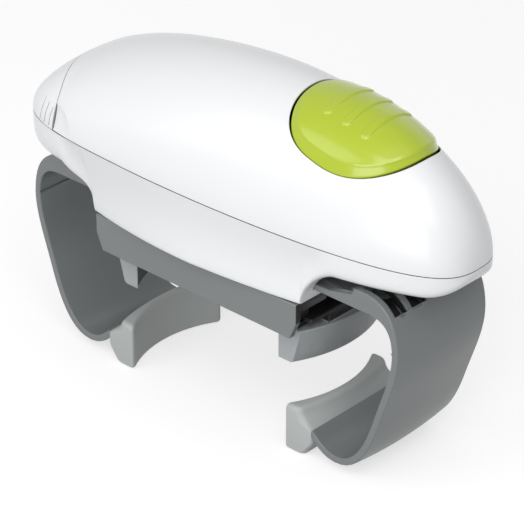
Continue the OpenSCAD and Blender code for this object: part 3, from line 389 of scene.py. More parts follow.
def cover_border(g):
    """The two lines that bound the cover: its own seam and the outline of the end."""
    x_side = COVER_X - COVER_GAP
    arch = along(cover_line(x_side, g), COLS // 2 + 1)
    end = along(seam_line(-BODY_LEFT + g, x_side, g)[::-1], COLS // 2 + 1)
    return full_arch(arch), full_arch(end)


arch_out, end_out = cover_border(0)
arch_in, end_in = cover_border(WALL)
skin = dome_sheet(arch_out, end_out, 60, 0, lift)
back = dome_sheet(arch_in, end_in, 30, WALL, lift)
near = roll(skin[0], skin[1], back[0], LIP_R)
far = roll(skin[-1], skin[-2], back[-1], LIP_R)
corner, inward = skin[0][[0, -1]], back[0][[0, -1]] - skin[0][[0, -1]]
straight = corner + np.linspace(0, 1, 5)[:, None, None] * inward * CORNER_SHARE
near[:, [0, -1]] = straight
far[:, [0, -1]] = straight
sheet = np.concatenate([near[::-1], skin[1:-1], far, back[::-1]])
# Painted shade: the colour is darkened round the cover's edges, into its joints with the shells.
shade_amount = np.concatenate([[0.7, 0.6, 0.5, 0.2, 0], np.zeros(len(skin) - 2),
                       [0, 0.5, 1, 1, 1, 1], np.zeros(len(back) - 2), [0.7]])
parts = [sheet.reshape(-1, 3)]
faces = [grid_faces(len(sheet), COLS, True, False)]


def bead(path, out, radius):
    """A round bead along a path, sunk to its middle; its ends taper to points."""
    t = np.gradient(path, axis=0)
    t /= np.linalg.norm(t, axis=1, keepdims=True)
    side = np.cross(t, out)
    a = bead_turn
    s = np.linspace(-1, 1, len(path))
    r = radius * np.sqrt(np.maximum(1 - s ** 8, 1e-4))[:, None, None]
    ring = np.cos(a)[None, :, None] * side[:, None] + np.sin(a)[None, :, None] * out[:, None]
    return path[:, None] + r * ring


def ridge_path(x_low, height, lean, y_sign):
    """A line up the dome's flank from a little over the seam."""
    up = np.linspace(0.8, height, 24)
    x = x_low - lean * up
    t = np.clip(up / dome_rise(x), 0, 1)
    p = across(x)
    y = y_sign * plan_w(x) * np.maximum(1 - t ** p, 0) ** (1 / p)
    return np.stack([x, y, seam_at(x) + up], -1)


RIDGE_X, RIDGE_PITCH, RIDGE_TOP, RIDGE_STEP, RIDGE_LEAN, RIDGE_R = -72.5, 2.95, 9.2, 0.7, -0.06, 0.45
RIDGE_SIDES, RIDGE_SHADE = 8, 0.75
bead_turn = np.linspace(0, 2 * math.pi, RIDGE_SIDES, endpoint=False)
for y_sign in (-1, 1):
    for k in range(3):
        path = ridge_path(RIDGE_X + RIDGE_PITCH * k, RIDGE_TOP - RIDGE_STEP * k, RIDGE_LEAN, y_sign)
        tube = bead(path, np.repeat([[-0.3, 0.93 * y_sign, 0.2]], len(path), 0), RIDGE_R)
        faces.append(grid_faces(len(path), RIDGE_SIDES, False, True, sum(len(p) for p in parts)))
        parts.append(tube.reshape(-1, 3))
points = np.concatenate(parts)
# Painted shade: each ridge's colour darkens along its foot, where it meets the skin.
foot_shade = np.clip(RIDGE_SHADE - np.sin(bead_turn), 0, RIDGE_SHADE)
shade_amount = np.r_[np.repeat(shade_amount, COLS), np.tile(foot_shade, (len(points) - len(shade_amount) * COLS) // RIDGE_SIDES)]
cover = make_piece("cover_skin", points, faces, 0.002, 40, shade_amount)
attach(cover, "battery_cover")
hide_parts("battery_cover")
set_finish(cover, "shell_white")
print("cover:", len(cover.data.polygons), "faces")

# %% [markdown]
# ## The lower shell
# Below the seam the body has two wings with flat undersides that sweep down into a
# boss under the middle. A sheet of points runs from the seam down each flank; its
# rule blends the rounded section of the wings into the square section of the boss.

# %% The lower shell's flank rule
BOSS_HALF_L, BOSS_HALF_W, BOSS_END_HALF_W, FLANK_DIP = 49.5, 35.8, 30.3, 1.6
FILLET_R = WING_Z - BOSS_Z
NOSE_X, TAIL_X = 91.0, 80.0


def boss_w(x):
    """Half width of the boss's underside: an arc, widest in the middle."""
    return BOSS_HALF_W - (BOSS_HALF_W - BOSS_END_HALF_W) * (x / BOSS_HALF_L) ** 2


def boss_share(x):
    """1 over the boss, 0 out on the wings, with a smooth step over the fillet."""
    t = np.clip((BOSS_HALF_L + FILLET_R - np.abs(x)) / FILLET_R, 0, 1)
    return t * t * (3 - 2 * t)


def under_z(x):
    """Height of the underside: wings that round up to the seam at their tips, a fillet, and the boss."""
    d = np.clip((BOSS_HALF_L + FILLET_R - np.abs(x)) / FILLET_R, 0, 1)
    curve = BOSS_Z - 2 + (FILLET_R + 2) * np.sqrt(1 - d * d)
    flat = np.where(d >= 1, BOSS_Z - 2, np.minimum(WING_Z, curve))
    tip = np.where(x > 0, (x - NOSE_X) / (BODY_RIGHT - NOSE_X), (-x - TAIL_X) / (BODY_LEFT - TAIL_X))
    return seam_at(x) - (seam_at(x) - flat) * np.sqrt(np.maximum(1 - np.clip(tip, 0, 1) ** 2, 0))


def flank_y(x, q, g=0.0):
    """Half width at share q of the way from the seam to the underside, drawn in by g."""
    k = boss_share(x)
    wing = 5.5 + 1.5 * np.tanh(x / 30) - 1.2 * np.clip((x - 60) / 40, 0, 1)
    m = wing + (16 - wing) * k
    w = plan_w(x, g)
    taper = 1 - np.minimum(1, (boss_w(x) - g) / np.maximum(w, 1e-6))
    y = w * np.maximum(1 - q ** m, 0) ** (1 / m) * (1 - k * taper * q)
    return np.maximum(y - k * FLANK_DIP * np.sin(math.pi * q), 0)


# %% Make the lower shell
def lower_stations(g, n=300):
    """Places along the body, closer together at the ends and along the fillets."""
    x = np.linspace(-BODY_LEFT + g, BODY_RIGHT - g, 4000)
    ends = 1 / np.sqrt(np.minimum(x + BODY_LEFT - g, BODY_RIGHT - g - x) + 0.05)
    near_fillet = np.exp(-((np.abs(x) - BOSS_HALF_L - 4) / 9) ** 2)
    weight = 0.12 + ends + 0.9 * near_fillet
    run = np.cumsum(weight)
    return np.interp(np.linspace(run[0], run[-1], n), run, x)


def section_shares(n):
    """Shares of the way down a flank, closer together at the bottom, where it turns in."""
    return 1 - (1 - np.linspace(0, 1, n)) ** 1.8


def lower_form(name, q, g, top, under, edge, shade_amount=None):
    """The lower form as a closed mesh: each flank from top down to under by shares q, drawn in by g.

    top and under are rules of x. The turn into the underside is rounded by edge."""
    xs = lower_stations(g)[1:-1]
    x, qq = np.meshgrid(xs, q, indexing="ij")
    z = top(x) - (top(x) - under(x)) * qq
    y = flank_y(x, qq, g)
    floor = BOSS_Z + g
    low = np.clip((floor + edge - z) / edge, 0, 1)
    y = np.where(z < floor + edge, y - edge * (1 - np.sqrt(np.maximum(1 - low ** 2, 0))), y)
    half = np.stack([x, np.maximum(y, 0), np.maximum(z, floor)], -1)
    sheet = np.concatenate([half[:, ::-1], half * [1, -1, 1]], 1)
    rows, cols = sheet.shape[:2]
    ends = np.array([-BODY_LEFT + g, BODY_RIGHT - g])
    tips = np.stack([ends, 0 * ends, top(ends)], -1)
    if shade_amount is not None:
        shade_amount = np.r_[np.tile(np.r_[shade_amount[::-1], shade_amount], len(xs)), 0, 0]
    points = np.concatenate([sheet.reshape(-1, 3), tips])
    shell = [grid_faces(rows, cols, False, True), *end_fans(rows, cols)]
    return make_piece(name, points, shell, 0.002, 35, shade_amount)


TOP_EDGE, EDGE = 0.006, 0.9
q = np.r_[0, TOP_EDGE, section_shares(40)[1:]]
# Painted shade: the top row along the seam, where q is 0, is darkened in colour.
lower = lower_form("lower_skin", q, 0, lambda x: seam_at(x) - SEAM_GAP / 2, under_z, EDGE, q == 0)
print("lower skin:", len(lower.data.polygons), "faces")


# %% [markdown]
# The shell is hollow: a smaller copy of the form, one wall inside it and taller than
# the seam, is taken away. Then a box at each end of the boss opens the way for the
# arms. Both are cuts with the Boolean modifier, which is applied at once.

# %% Open the lower shell
def box_piece(name, lo, hi):
    """A closed box between two corners, for use as a cutter."""
    c = np.array([[x, y, z] for x in (0, 1) for y in (0, 1) for z in (0, 1)])
    p = np.asarray(lo) + c * (np.asarray(hi) - np.asarray(lo))
    f = [[0, 1, 3, 2], [4, 6, 7, 5], [0, 4, 5, 1], [2, 3, 7, 6], [0, 2, 6, 4], [1, 5, 7, 3]]
    return make_piece(name, p, [f])


def cut(obj, cutter, operation="DIFFERENCE"):
    """Applies one Boolean to obj and removes the cutter."""
    m = obj.modifiers.new("cut", "BOOLEAN")
    m.operation, m.object, m.solver = operation, cutter, "EXACT"
    with bpy.context.temp_override(object=obj, active_object=obj, selected_objects=[obj]):
        bpy.ops.object.modifier_apply(modifier=m.name)
    bpy.data.objects.remove(cutter, do_unlink=True)


def floor_z(x):
    """Height of the hollow's floor: one wall over the underside, and one wall inside the fillets."""
    return np.maximum(under_z(x), under_z(x + np.sign(x) * WALL)) + WALL


hollow = lower_form("hollow", section_shares(16), WALL, lambda x: seam_at(x) + 2 * WALL, floor_z, EDGE)
cut(lower, hollow)
ARM_HALF_W, ARM_TOP = 23.7, 76.7
SLOT_W, SLOT_LOW, SLOT_HIGH = ARM_HALF_W + 0.4, 68.9, ARM_TOP + 0.8
SLOT_IN, SLOT_OUT = BOSS_HALF_L - WALL - 3, BOSS_HALF_L + FILLET_R + 12
for sign in (-1, 1):
    a, b = sorted((sign * SLOT_IN, sign * SLOT_OUT))
    cut(lower, box_piece("slot_cut", [a, -SLOT_W, SLOT_LOW], [b, SLOT_W, SLOT_HIGH]))
smooth(lower, 35)
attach(lower, "housing")
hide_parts("lower_shell")
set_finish(lower, "shell_white")
print("lower skin after cutting:", len(lower.data.polygons), "faces")

# %% [markdown]
# ## The push button
# The cap is a smooth lime pebble: an egg outline whose top follows the dome, and which
# stands least proud at its two ends. Rings of points run up a skirt and a leaning wall,
# round the rim and in to the middle, and a second set runs back inside, which makes
# the hollow. Three plain raised bars give grip.

# %% Make the button cap
PROUD, PROUD_TAIL, PROUD_NOSE, NOSE_FROM = 2.5, 0.5, 1.4, 8.0
LEAN, RIM, CAP_T, CAP_WALL = 1.3, 0.6, 2.2, 1.8
SKIRT_ROWS, WALL_FOOT, CAP_DEPTH = (-1.6, -0.6), -0.3, 7.0
INNER_SHARES = (0.02, 0.3, 0.6, 0.85, 0.96, 1.0)
CAP_ROWS = 100


def proud(u):
    """How far the cap stands over the dome: most in the middle of its length, and least at its two ends."""
    tail = (PROUD - PROUD_TAIL) * np.clip(-u / BUTTON_LEFT, 0, 1) ** 2
    nose = (PROUD - PROUD_NOSE) * np.clip((u - NOSE_FROM) / (BUTTON_RIGHT - NOSE_FROM), 0, 1) ** 2
    return PROUD - tail - nose


BAR_PLACES, BAR_HALF_L, BAR_HALF_W, BAR_H, BAR_SLOPE = (-7.0, 1.5, 10.0), 10.5, 1.5, 0.6, 0.55


def grip_bars(u, v):
    """Height of the three raised bars over the cap: round-ended, flat on top, with soft sides."""
    h = np.zeros_like(u)
    for centre in BAR_PLACES:
        d = np.hypot(u - centre, np.maximum(np.abs(v) - BAR_HALF_L, 0))
        t = np.clip((BAR_HALF_W + BAR_SLOPE / 2 - d) / BAR_SLOPE, 0, 1)
        h = np.maximum(h, BAR_H * t * t * (3 - 2 * t))
    return h


def cap_ring(uv, over):
    """One ring of the cap at points uv, each over mm above the dome."""
    return button_point(uv[:, 0], uv[:, 1], dome_over(uv[:, 0], uv[:, 1]) + over)


def cap_rings():
    """The cap's outside as rings: up the skirt and the leaning wall, round the rim, then inwards."""
    out = egg(RING)
    unit = out / np.linalg.norm(out, axis=1, keepdims=True)
    stand = proud(out[:, 0])
    rings = [button_point(out[:, 0], out[:, 1], np.full(RING, cap_low))]
    rings += [cap_ring(out, over) for over in SKIRT_ROWS]
    for t in np.linspace(0, 1, 6):
        rings.append(cap_ring(out - unit * LEAN * t, WALL_FOOT + (stand - RIM - WALL_FOOT) * t))
    for a in np.linspace(0, math.pi / 2, 7)[1:]:
        drawn_in = LEAN + RIM * (1 - math.cos(a))
        rings.append(cap_ring(out - unit * drawn_in, stand - RIM * (1 - math.sin(a))))
    top = out - unit * (LEAN + RIM)
    for share in np.linspace(1, 0, CAP_ROWS)[1:-1]:
        uv = top * share
        rings.append(cap_ring(uv, proud(uv[:, 0]) + grip_bars(uv[:, 0], uv[:, 1])))
    return np.array(rings)


cap_low = side_n - CAP_DEPTH
outside = cap_rings()
inner_uv = egg(RING, -CAP_WALL)
inside = np.array([cap_ring(inner_uv * f, proud(inner_uv[:, 0] * f) - CAP_T) for f in INNER_SHARES])
inside_low = button_point(inner_uv[:, 0], inner_uv[:, 1], np.full(RING, cap_low))[None]
sheet = np.concatenate([inside, inside_low, outside])
# Painted shade: the skirt, down in the gap under the mouth, is darkened in colour.
shade_amount = np.r_[np.zeros(len(inside)), 1, 1, 1, 0.4, 0, np.zeros(len(outside) - 4)]
rows = len(sheet)
poles = np.array([button_point(np.array(0.0), np.array(0.0), PROUD - CAP_T),
                  button_point(np.array(0.0), np.array(0.0), PROUD + BAR_H)])
cap = make_piece("button_skin", np.concatenate([sheet.reshape(-1, 3), poles]),
                 [grid_faces(rows, RING, False, True), *end_fans(rows, RING)], 0.002, 50,
                 np.r_[np.repeat(shade_amount, RING), 0, 0])
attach(cap, "button")
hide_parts("button_cap")
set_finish(cap, "button_lime")
print("cap:", len(cap.data.polygons), "faces")

# %% [markdown]
# ## Copies with soft edges
# Parts that are all flats, steps and bores keep the CAD's form. A copy of the mesh is
# merged and its flat faces joined again; then the Bevel modifier gives each sharp edge
# a small round. Real mouldings have no sharp edge, and a round one catches the light.

# %% Soften copies of the CAD solids
def copy_of(node, name):
    """A copy of a CAD node's mesh with its points merged and its flats joined."""
    obj = bpy.data.objects.new(name, nodes[node].data.copy())
    bpy.context.scene.collection.objects.link(obj)
    bm = bmesh.new()
    bm.from_mesh(obj.data)
    bmesh.ops.remove_doubles(bm, verts=bm.verts, dist=2e-6)
    bmesh.ops.dissolve_limit(bm, angle_limit=math.radians(0.5), verts=bm.verts, edges=bm.edges)
    bm.to_mesh(obj.data)
    bm.free()
    return obj


def soften(obj, width, segments=2):
    """Rounds the edges sharper than 35 degrees by width mm."""
    bevel = obj.modifiers.new("edges", "BEVEL")
    bevel.width, bevel.segments = width * MM, segments
    bevel.limit_method, bevel.angle_limit = "ANGLE", math.radians(35)
    bevel.use_clamp_overlap = False
    bevel.miter_outer = "MITER_ARC"
    smooth(obj, 35)
    return obj


def shade_faces(obj, inside):
    """Paints shade on the faces for which inside(centre in mm, normal) holds, by setting crevice to 1
    there; it takes whole arrays.
    """
    n = len(obj.data.polygons)
    centre, normal = np.empty(n * 3), np.empty(n * 3)
    obj.data.polygons.foreach_get("center", centre)
    obj.data.polygons.foreach_get("normal", normal)
    mask = inside(centre.reshape(-1, 3) / MM, normal.reshape(-1, 3))
    layer = obj.data.attributes.new("crevice", "FLOAT", "FACE")
    layer.data.foreach_set("value", mask.astype(np.float32))
    print(obj.name, int(mask.sum()), "faces in the dark")


# %% [markdown]
# ## The arms
# Each arm is a wide strap bent like a C: out of the boss, round, and down to its pad.
# The outer line of its bend follows four Bezier curves. In the photograph the strap's
# edge bulges in the middle of its width, so its outer face is crowned: the copy is
# sliced lengthwise, and each point of that face moves out by a parabola.

# %% The strap's outer line
ARM_REACH, STRAP_LOW, PAD_BACK = 88.4, 3.6, 52.0
STRAP_START, TIP_Z = ARM_REACH - 19.4, STRAP_LOW + 3.8
R, T, L = ARM_REACH, ARM_TOP, STRAP_LOW
STRAP_CURVES = np.array([
    [[STRAP_START, T], [R - 6.4, T + 0.9], [R - 0.8, T - 5.8], [R, T - 18.8]],
    [[R, T - 18.8], [R + 0.4, T - 28.8], [R - 4.3, T - 38.7], [R - 7.8, T - 50.5]],
    [[R - 7.8, T - 50.5], [R - 10.9, T - 60.2], [R - 15.9, L + 0.3], [PAD_BACK + 10, L]],
    [[PAD_BACK + 10, L], [PAD_BACK + 6, L - 0.2], [PAD_BACK + 2.5, L + 1.6], [PAD_BACK, TIP_Z]]])


def bezier(c, t):
    """Cubic Bezier through control points c at shares t."""
    t = np.asarray(t)[:, None]
    return (1 - t) ** 3 * c[0] + 3 * (1 - t) ** 2 * t * c[1] + 3 * (1 - t) * t * t * c[2] + t ** 3 * c[3]


strap_line = along(np.concatenate([bezier(c, np.linspace(0, 1, 200)) for c in STRAP_CURVES]), 500)
slope = np.gradient(strap_line, axis=0)
slope /= np.linalg.norm(slope, axis=1, keepdims=True)
strap_out = np.stack([-slope[:, 1], slope[:, 0]], -1)
strap_share = np.linspace(0, 1, 500)


# %% Make both arms
CROWN = 1.3


def crowned(obj, turn):
    """Moves the strap's outer face out: most in the middle of its width and of its length."""
    bm = bmesh.new()
    bm.from_mesh(obj.data)
    for y in np.linspace(-21, 21, 15) * MM:
        bmesh.ops.bisect_plane(bm, geom=bm.verts[:] + bm.edges[:] + bm.faces[:], dist=1e-7,
                               plane_co=(0, y, 0), plane_no=(0, 1, 0))
    bm.to_mesh(obj.data)
    bm.free()
    co = np.empty(len(obj.data.vertices) * 3)
    obj.data.vertices.foreach_get("co", co)
    co = co.reshape(-1, 3) / MM * [turn, turn, 1]
    far = np.linalg.norm(co[:, None, [0, 2]] - strap_line[None], axis=-1)
    near = np.argmin(far, 1)
    on_face = far[np.arange(len(co)), near] < 0.3
    s = strap_share[near]
    ramp = np.clip((s - 0.17) / 0.3, 0, 1) * np.clip((0.95 - s) / 0.12, 0, 1)
    ramp = ramp * ramp * (3 - 2 * ramp)
    move = CROWN * ramp * np.maximum(1 - (co[:, 1] / ARM_HALF_W) ** 2, 0) * on_face
    co[:, 0] += move * strap_out[near, 0]
    co[:, 2] += move * strap_out[near, 1]
    obj.data.vertices.foreach_set("co", (co * [turn, turn, 1] * MM).ravel())


def in_pockets(centre, normal):
    """Faces in the hollows of the arm's top, which get painted shade: off the strap's outer line, facing
    out or sideways.
    """
    place = np.stack([np.abs(centre[:, 0]), centre[:, 2]], -1)
    far = np.linalg.norm(place[:, None] - strap_line[None], axis=-1)
    near = np.argmin(far, 1)
    outward = np.abs(normal[:, 0]) * strap_out[near, 0] + normal[:, 2] * strap_out[near, 1]
    y = np.abs(centre[:, 1])
    there = (far.min(1) > 0.5) & (centre[:, 2] > HOLLOW_LOW) & (place[:, 0] > STRAP_START)
    within = (y > HOLLOW_FROM) & (y < ARM_HALF_W - 2)
    faces_out = (outward > 0.4) & (normal[:, 0] * centre[:, 0] > -0.1 * place[:, 0])
    return there & within & (faces_out | (np.abs(normal[:, 1]) > 0.9))


HOLLOW_LOW, HOLLOW_FROM = 62.0, 4.9
for side, turn in (("right", 1), ("left", -1)):
    arm = copy_of(side + "_arm", side + "_arm_skin")
    crowned(arm, turn)
    # Painted shade: the faces in the pockets under the wing are darkened in colour.
    shade_faces(arm, in_pockets)
    soften(arm, 0.45, 3)
    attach(arm, side + "_arm")
    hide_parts(side + "_arm")
    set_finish(arm, "arm_grey")
    print(arm.name, len(arm.data.polygons), "faces")

# %% [markdown]
# ## The pads
# A pad is a wall hollowed to the circle that it grips. Its section is thin at the top
# and runs back to a straight foot on the strap. The section is carried across the arm,
# its inner edge following that circle, and drawn in at both ends.

# %% Make both pads
GRIP_R, PAD_T, PAD_H, PAD_HALF_W, FOOT_EDGE, PAD_CURVE_R = 44.5, 4.5, 18.5, 24.0, 5.0, 80.0


def pad_section(y, e):
    """The pad's section at places y across it, as corners in x and z, drawn in by e at its ends."""
    x_in = np.sqrt(GRIP_R ** 2 - y ** 2) + e
    x_top = GRIP_R + PAD_T - PAD_CURVE_R + np.sqrt(PAD_CURVE_R ** 2 - y ** 2) - e
    o = np.ones_like(y)
    back = (PAD_BACK - 1) * o - 0.7 * e
    return np.stack([
        np.stack([x_in, 0.4 * e], -1), np.stack([(PAD_BACK - FOOT_EDGE) * o - e, 0.4 * e], -1),
        np.stack([(PAD_BACK - FOOT_EDGE + 1.6) * o - 0.7 * e, 2.7 * o + 0.3 * e], -1),
        np.stack([back, (FOOT_EDGE + 1) * o], -1), np.stack([back, (TIP_Z + 4) * o], -1),
        np.stack([x_top, (PAD_H - 3.4) * o - e], -1), np.stack([x_top - 1.2, PAD_H * o - e], -1),
        np.stack([x_in, PAD_H * o - e], -1)], 1)


def rounded_loop(corners, r, steps=5):
    """Replaces each corner of each section by a small curve; corners is (places, corners, 2)."""
    before, after = np.roll(corners, 1, 1), np.roll(corners, -1, 1)

    def towards(to, radius):
        """The points a radius from the corners on the way to their neighbours."""
        d = to - corners
        length = np.linalg.norm(d, axis=-1, keepdims=True)
        return corners + d / length * np.minimum(radius, 0.45 * length)
    a, b = towards(before, r), towards(after, r)
    t = np.linspace(0, 1, steps)[None, None, :, None]
    curve = (1 - t) ** 2 * a[:, :, None] + 2 * t * (1 - t) * corners[:, :, None] + t * t * b[:, :, None]
    return curve.reshape(len(corners), -1, 2)


radii = np.array([1.2, 2.0, 1.0, 1.6, 1.2, 2.0, 1.6, 1.6])[None, :, None]
END_R = 2.2
a = np.linspace(0, math.pi / 2, 10)
ends = PAD_HALF_W - END_R + END_R * np.sin(a[::-1])
draw = np.r_[END_R * (1 - np.cos(a[::-1])), np.zeros(39), END_R * (1 - np.cos(a))]
ys = np.r_[-ends, np.linspace(-PAD_HALF_W + END_R, PAD_HALF_W - END_R, 41)[1:-1], ends[::-1]]
loops = rounded_loop(pad_section(ys, 0.8 * draw), radii)
pad = np.stack([loops[..., 0], np.repeat(ys[:, None], loops.shape[1], 1), loops[..., 1]], -1)
m = loops.shape[1]
pad_faces = [grid_faces(len(ys), m, False, True), [np.arange(m)[::-1]], [np.arange(m) + (len(ys) - 1) * m]]
for side, turn in (("right", 1), ("left", -1)):
    piece = make_piece(side + "_pad_skin", pad * [turn, turn, 1], pad_faces, 0.0, 40)
    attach(piece, side + "_arm")
    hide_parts(side + "_jar_pad")
    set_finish(piece, "pad_grey")
    print(piece.name, len(piece.data.polygons), "faces")

# %% [markdown]
# ## The carriage and its jaws
# The turning carriage is a channel with a closed top, and its two jaws slide in it on
# the cover below. All four are injection mouldings, so their edges are rounded a
# little, and the faces inside the channel get painted shade: their colour is darkened.

# %% Soften the carriage and the jaws
CAR_LOW, CAR_CEILING, CAR_INSIDE_W = 50.6, 60.9, 27.7


def in_channel(centre, normal):
    """Faces inside the carriage's channel, between its side walls and under its ceiling, which get painted
    shade.
    """
    return ((centre[:, 2] > CAR_LOW + 0.1) & (centre[:, 2] < CAR_CEILING + 0.2)
            & (np.abs(centre[:, 1]) < CAR_INSIDE_W + 0.1))


for node, body, name, width in (
        ("carriage_frame", "carriage", "carriage_grey", 0.4),
        ("carriage_cover", "carriage", "carriage_grey", 0.2),
        ("right_lid_jaw", "right_lid_jaw", "jaw_grey", 0.4),
        ("left_lid_jaw", "left_lid_jaw", "jaw_grey", 0.4)):
    piece = copy_of(node, node + "_soft")
    # Painted shade: faces inside the channel are darkened in colour.
    shade_faces(piece, in_channel)
    soften(piece, width)
    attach(piece, body)
    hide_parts(node)
    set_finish(piece, name)
    print(piece.name, len(piece.data.polygons), "faces")

# %% [markdown]
# ## Finishes
# A moulded plastic is never one flat colour: the mould leaves a fine grain, and the colour
# drifts a little from place to place. Painted shade darkens the colour in joints and hollows.
# These effects are node groups with named inputs, built once and placed in each material.

# %% Node groups
def group(name, inputs, outputs):
    """An empty shader node group with the given sockets."""
    g = bpy.data.node_groups.new(name, "ShaderNodeTree")
    for label, kind, value in inputs:
        s = g.interface.new_socket(label, in_out="INPUT", socket_type=kind)
        s.default_value = value
    for label, kind in outputs:
        g.interface.new_socket(label, in_out="OUTPUT", socket_type=kind)
    return g, g.nodes.new("NodeGroupInput"), g.nodes.new("NodeGroupOutput")


def link(tree, a, b):
    """Joins output a to input b."""
    tree.links.new(a, b)


def moulded_group():
    """Grain as a height, a drifting tone as a colour with painted shade mixed in where crevice is set, and
    a roughness that varies with the grain.
    """
    g, i, o = group("moulded plastic", [
        ("Colour", "NodeSocketColor", (0.5, 0.5, 0.5, 1)), ("Drift", "NodeSocketFloat", 0.03),
        ("Roughness", "NodeSocketFloat", 0.4), ("Grain Scale", "NodeSocketFloat", 900.0)],
        [("Colour", "NodeSocketColor"), ("Roughness", "NodeSocketFloat"), ("Height", "NodeSocketFloat")])
    co = g.nodes.new("ShaderNodeTexCoord")
    wide = g.nodes.new("ShaderNodeTexNoise")
    wide.inputs["Scale"].default_value = 18.0
    wide.inputs["Detail"].default_value = 3.0
    fine = g.nodes.new("ShaderNodeTexNoise")
    fine.inputs["Detail"].default_value = 2.0
    link(g, co.outputs["Object"], wide.inputs["Vector"])
    link(g, co.outputs["Object"], fine.inputs["Vector"])
    link(g, i.outputs["Grain Scale"], fine.inputs["Scale"])
    centred = g.nodes.new("ShaderNodeMath")
    centred.operation = "MULTIPLY_ADD"
    centred.inputs[1].default_value = 2.0
    centred.inputs[2].default_value = -1.0
    link(g, wide.outputs["Fac"], centred.inputs[0])
    amount = g.nodes.new("ShaderNodeMath")
    amount.operation = "MULTIPLY_ADD"
    amount.inputs[2].default_value = 1.0
    link(g, centred.outputs[0], amount.inputs[0])
    link(g, i.outputs["Drift"], amount.inputs[1])
    tone = g.nodes.new("ShaderNodeVectorMath")
    tone.operation = "SCALE"
    link(g, i.outputs["Colour"], tone.inputs[0])
    link(g, amount.outputs[0], tone.inputs["Scale"])
    rough = g.nodes.new("ShaderNodeMath")
    rough.operation = "MULTIPLY"
    link(g, i.outputs["Roughness"], rough.inputs[0])
    spread = g.nodes.new("ShaderNodeMath")
    spread.operation = "MULTIPLY_ADD"
    spread.inputs[1].default_value = 0.16
    spread.inputs[2].default_value = 0.92
    link(g, fine.outputs["Fac"], spread.inputs[0])
    link(g, spread.outputs[0], rough.inputs[1])
    # Painted shade: the crevice attribute mixes the colour towards near black.
    mark = g.nodes.new("ShaderNodeAttribute")
    mark.attribute_name = "crevice"
    shaded = g.nodes.new("ShaderNodeMix")
    shaded.data_type = "RGBA"
    shaded.inputs["B"].default_value = (*PAINTED_SHADE_COLOUR, 1)
    link(g, mark.outputs["Fac"], shaded.inputs["Factor"])
    link(g, tone.outputs[0], shaded.inputs["A"])
    link(g, shaded.outputs["Result"], o.inputs["Colour"])
    link(g, rough.outputs[0], o.inputs["Roughness"])
    link(g, fine.outputs["Fac"], o.inputs["Height"])
    return g


# The colour of the painted shade in joints and hollows.
PAINTED_SHADE_COLOUR = (0.012, 0.012, 0.012)
MOULDED = moulded_group()


def material(name):
    """A new material with its tree, its Principled shader and its output."""
    m = bpy.data.materials.new(name)
    m.use_nodes = True
    return m, m.node_tree, m.node_tree.nodes["Principled BSDF"]


def plastic(name, colour, roughness, drift=0.02, grain=900.0, bump=0.02, coat=0.0, specular=0.5):
    """Moulded plastic: base colour with drift, fine grain in roughness and bump, and a clear gloss."""
    m, tree, shader = material(name)
    n = tree.nodes.new("ShaderNodeGroup")
    n.node_tree = MOULDED
    n.inputs["Colour"].default_value = (*colour, 1)
    n.inputs["Drift"].default_value = drift
    n.inputs["Roughness"].default_value = roughness
    n.inputs["Grain Scale"].default_value = grain
    bumper = tree.nodes.new("ShaderNodeBump")
    bumper.inputs["Strength"].default_value = bump
    bumper.inputs["Distance"].default_value = 0.0005
    link(tree, n.outputs["Colour"], shader.inputs["Base Color"])
    link(tree, n.outputs["Roughness"], shader.inputs["Roughness"])
    link(tree, n.outputs["Height"], bumper.inputs["Height"])
    link(tree, bumper.outputs["Normal"], shader.inputs["Normal"])
    shader.inputs["Coat Weight"].default_value = coat
    shader.inputs["Coat Roughness"].default_value = 0.12
    shader.inputs["Specular IOR Level"].default_value = specular
    return m


def metal(name, colour, roughness, brush=(400.0, 400.0, 40.0)):
    """Worked metal: fine lines along one direction in roughness and bump."""
    m, tree, shader = material(name)
    co = tree.nodes.new("ShaderNodeTexCoord")
    turn = tree.nodes.new("ShaderNodeMapping")
    turn.inputs["Scale"].default_value = brush
    lines = tree.nodes.new("ShaderNodeTexNoise")
    lines.inputs["Scale"].default_value = 1.0
    lines.inputs["Detail"].default_value = 3.0
    ramp = tree.nodes.new("ShaderNodeMapRange")
    ramp.inputs["To Min"].default_value = roughness * 0.7
    ramp.inputs["To Max"].default_value = roughness * 1.4
    tone = tree.nodes.new("ShaderNodeMix")
    tone.data_type = "RGBA"
    tone.inputs["A"].default_value = (*[c * 0.85 for c in colour], 1)
    tone.inputs["B"].default_value = (*colour, 1)
    bumper = tree.nodes.new("ShaderNodeBump")
    bumper.inputs["Strength"].default_value = 0.04
    bumper.inputs["Distance"].default_value = 0.0002
    link(tree, co.outputs["Object"], turn.inputs["Vector"])
    link(tree, turn.outputs["Vector"], lines.inputs["Vector"])
    link(tree, lines.outputs["Fac"], ramp.inputs["Value"])
    link(tree, lines.outputs["Fac"], tone.inputs["Factor"])
    link(tree, lines.outputs["Fac"], bumper.inputs["Height"])
    link(tree, ramp.outputs["Result"], shader.inputs["Roughness"])
    link(tree, tone.outputs["Result"], shader.inputs["Base Color"])
    link(tree, bumper.outputs["Normal"], shader.inputs["Normal"])
    shader.inputs["Metallic"].default_value = 1.0
    return m


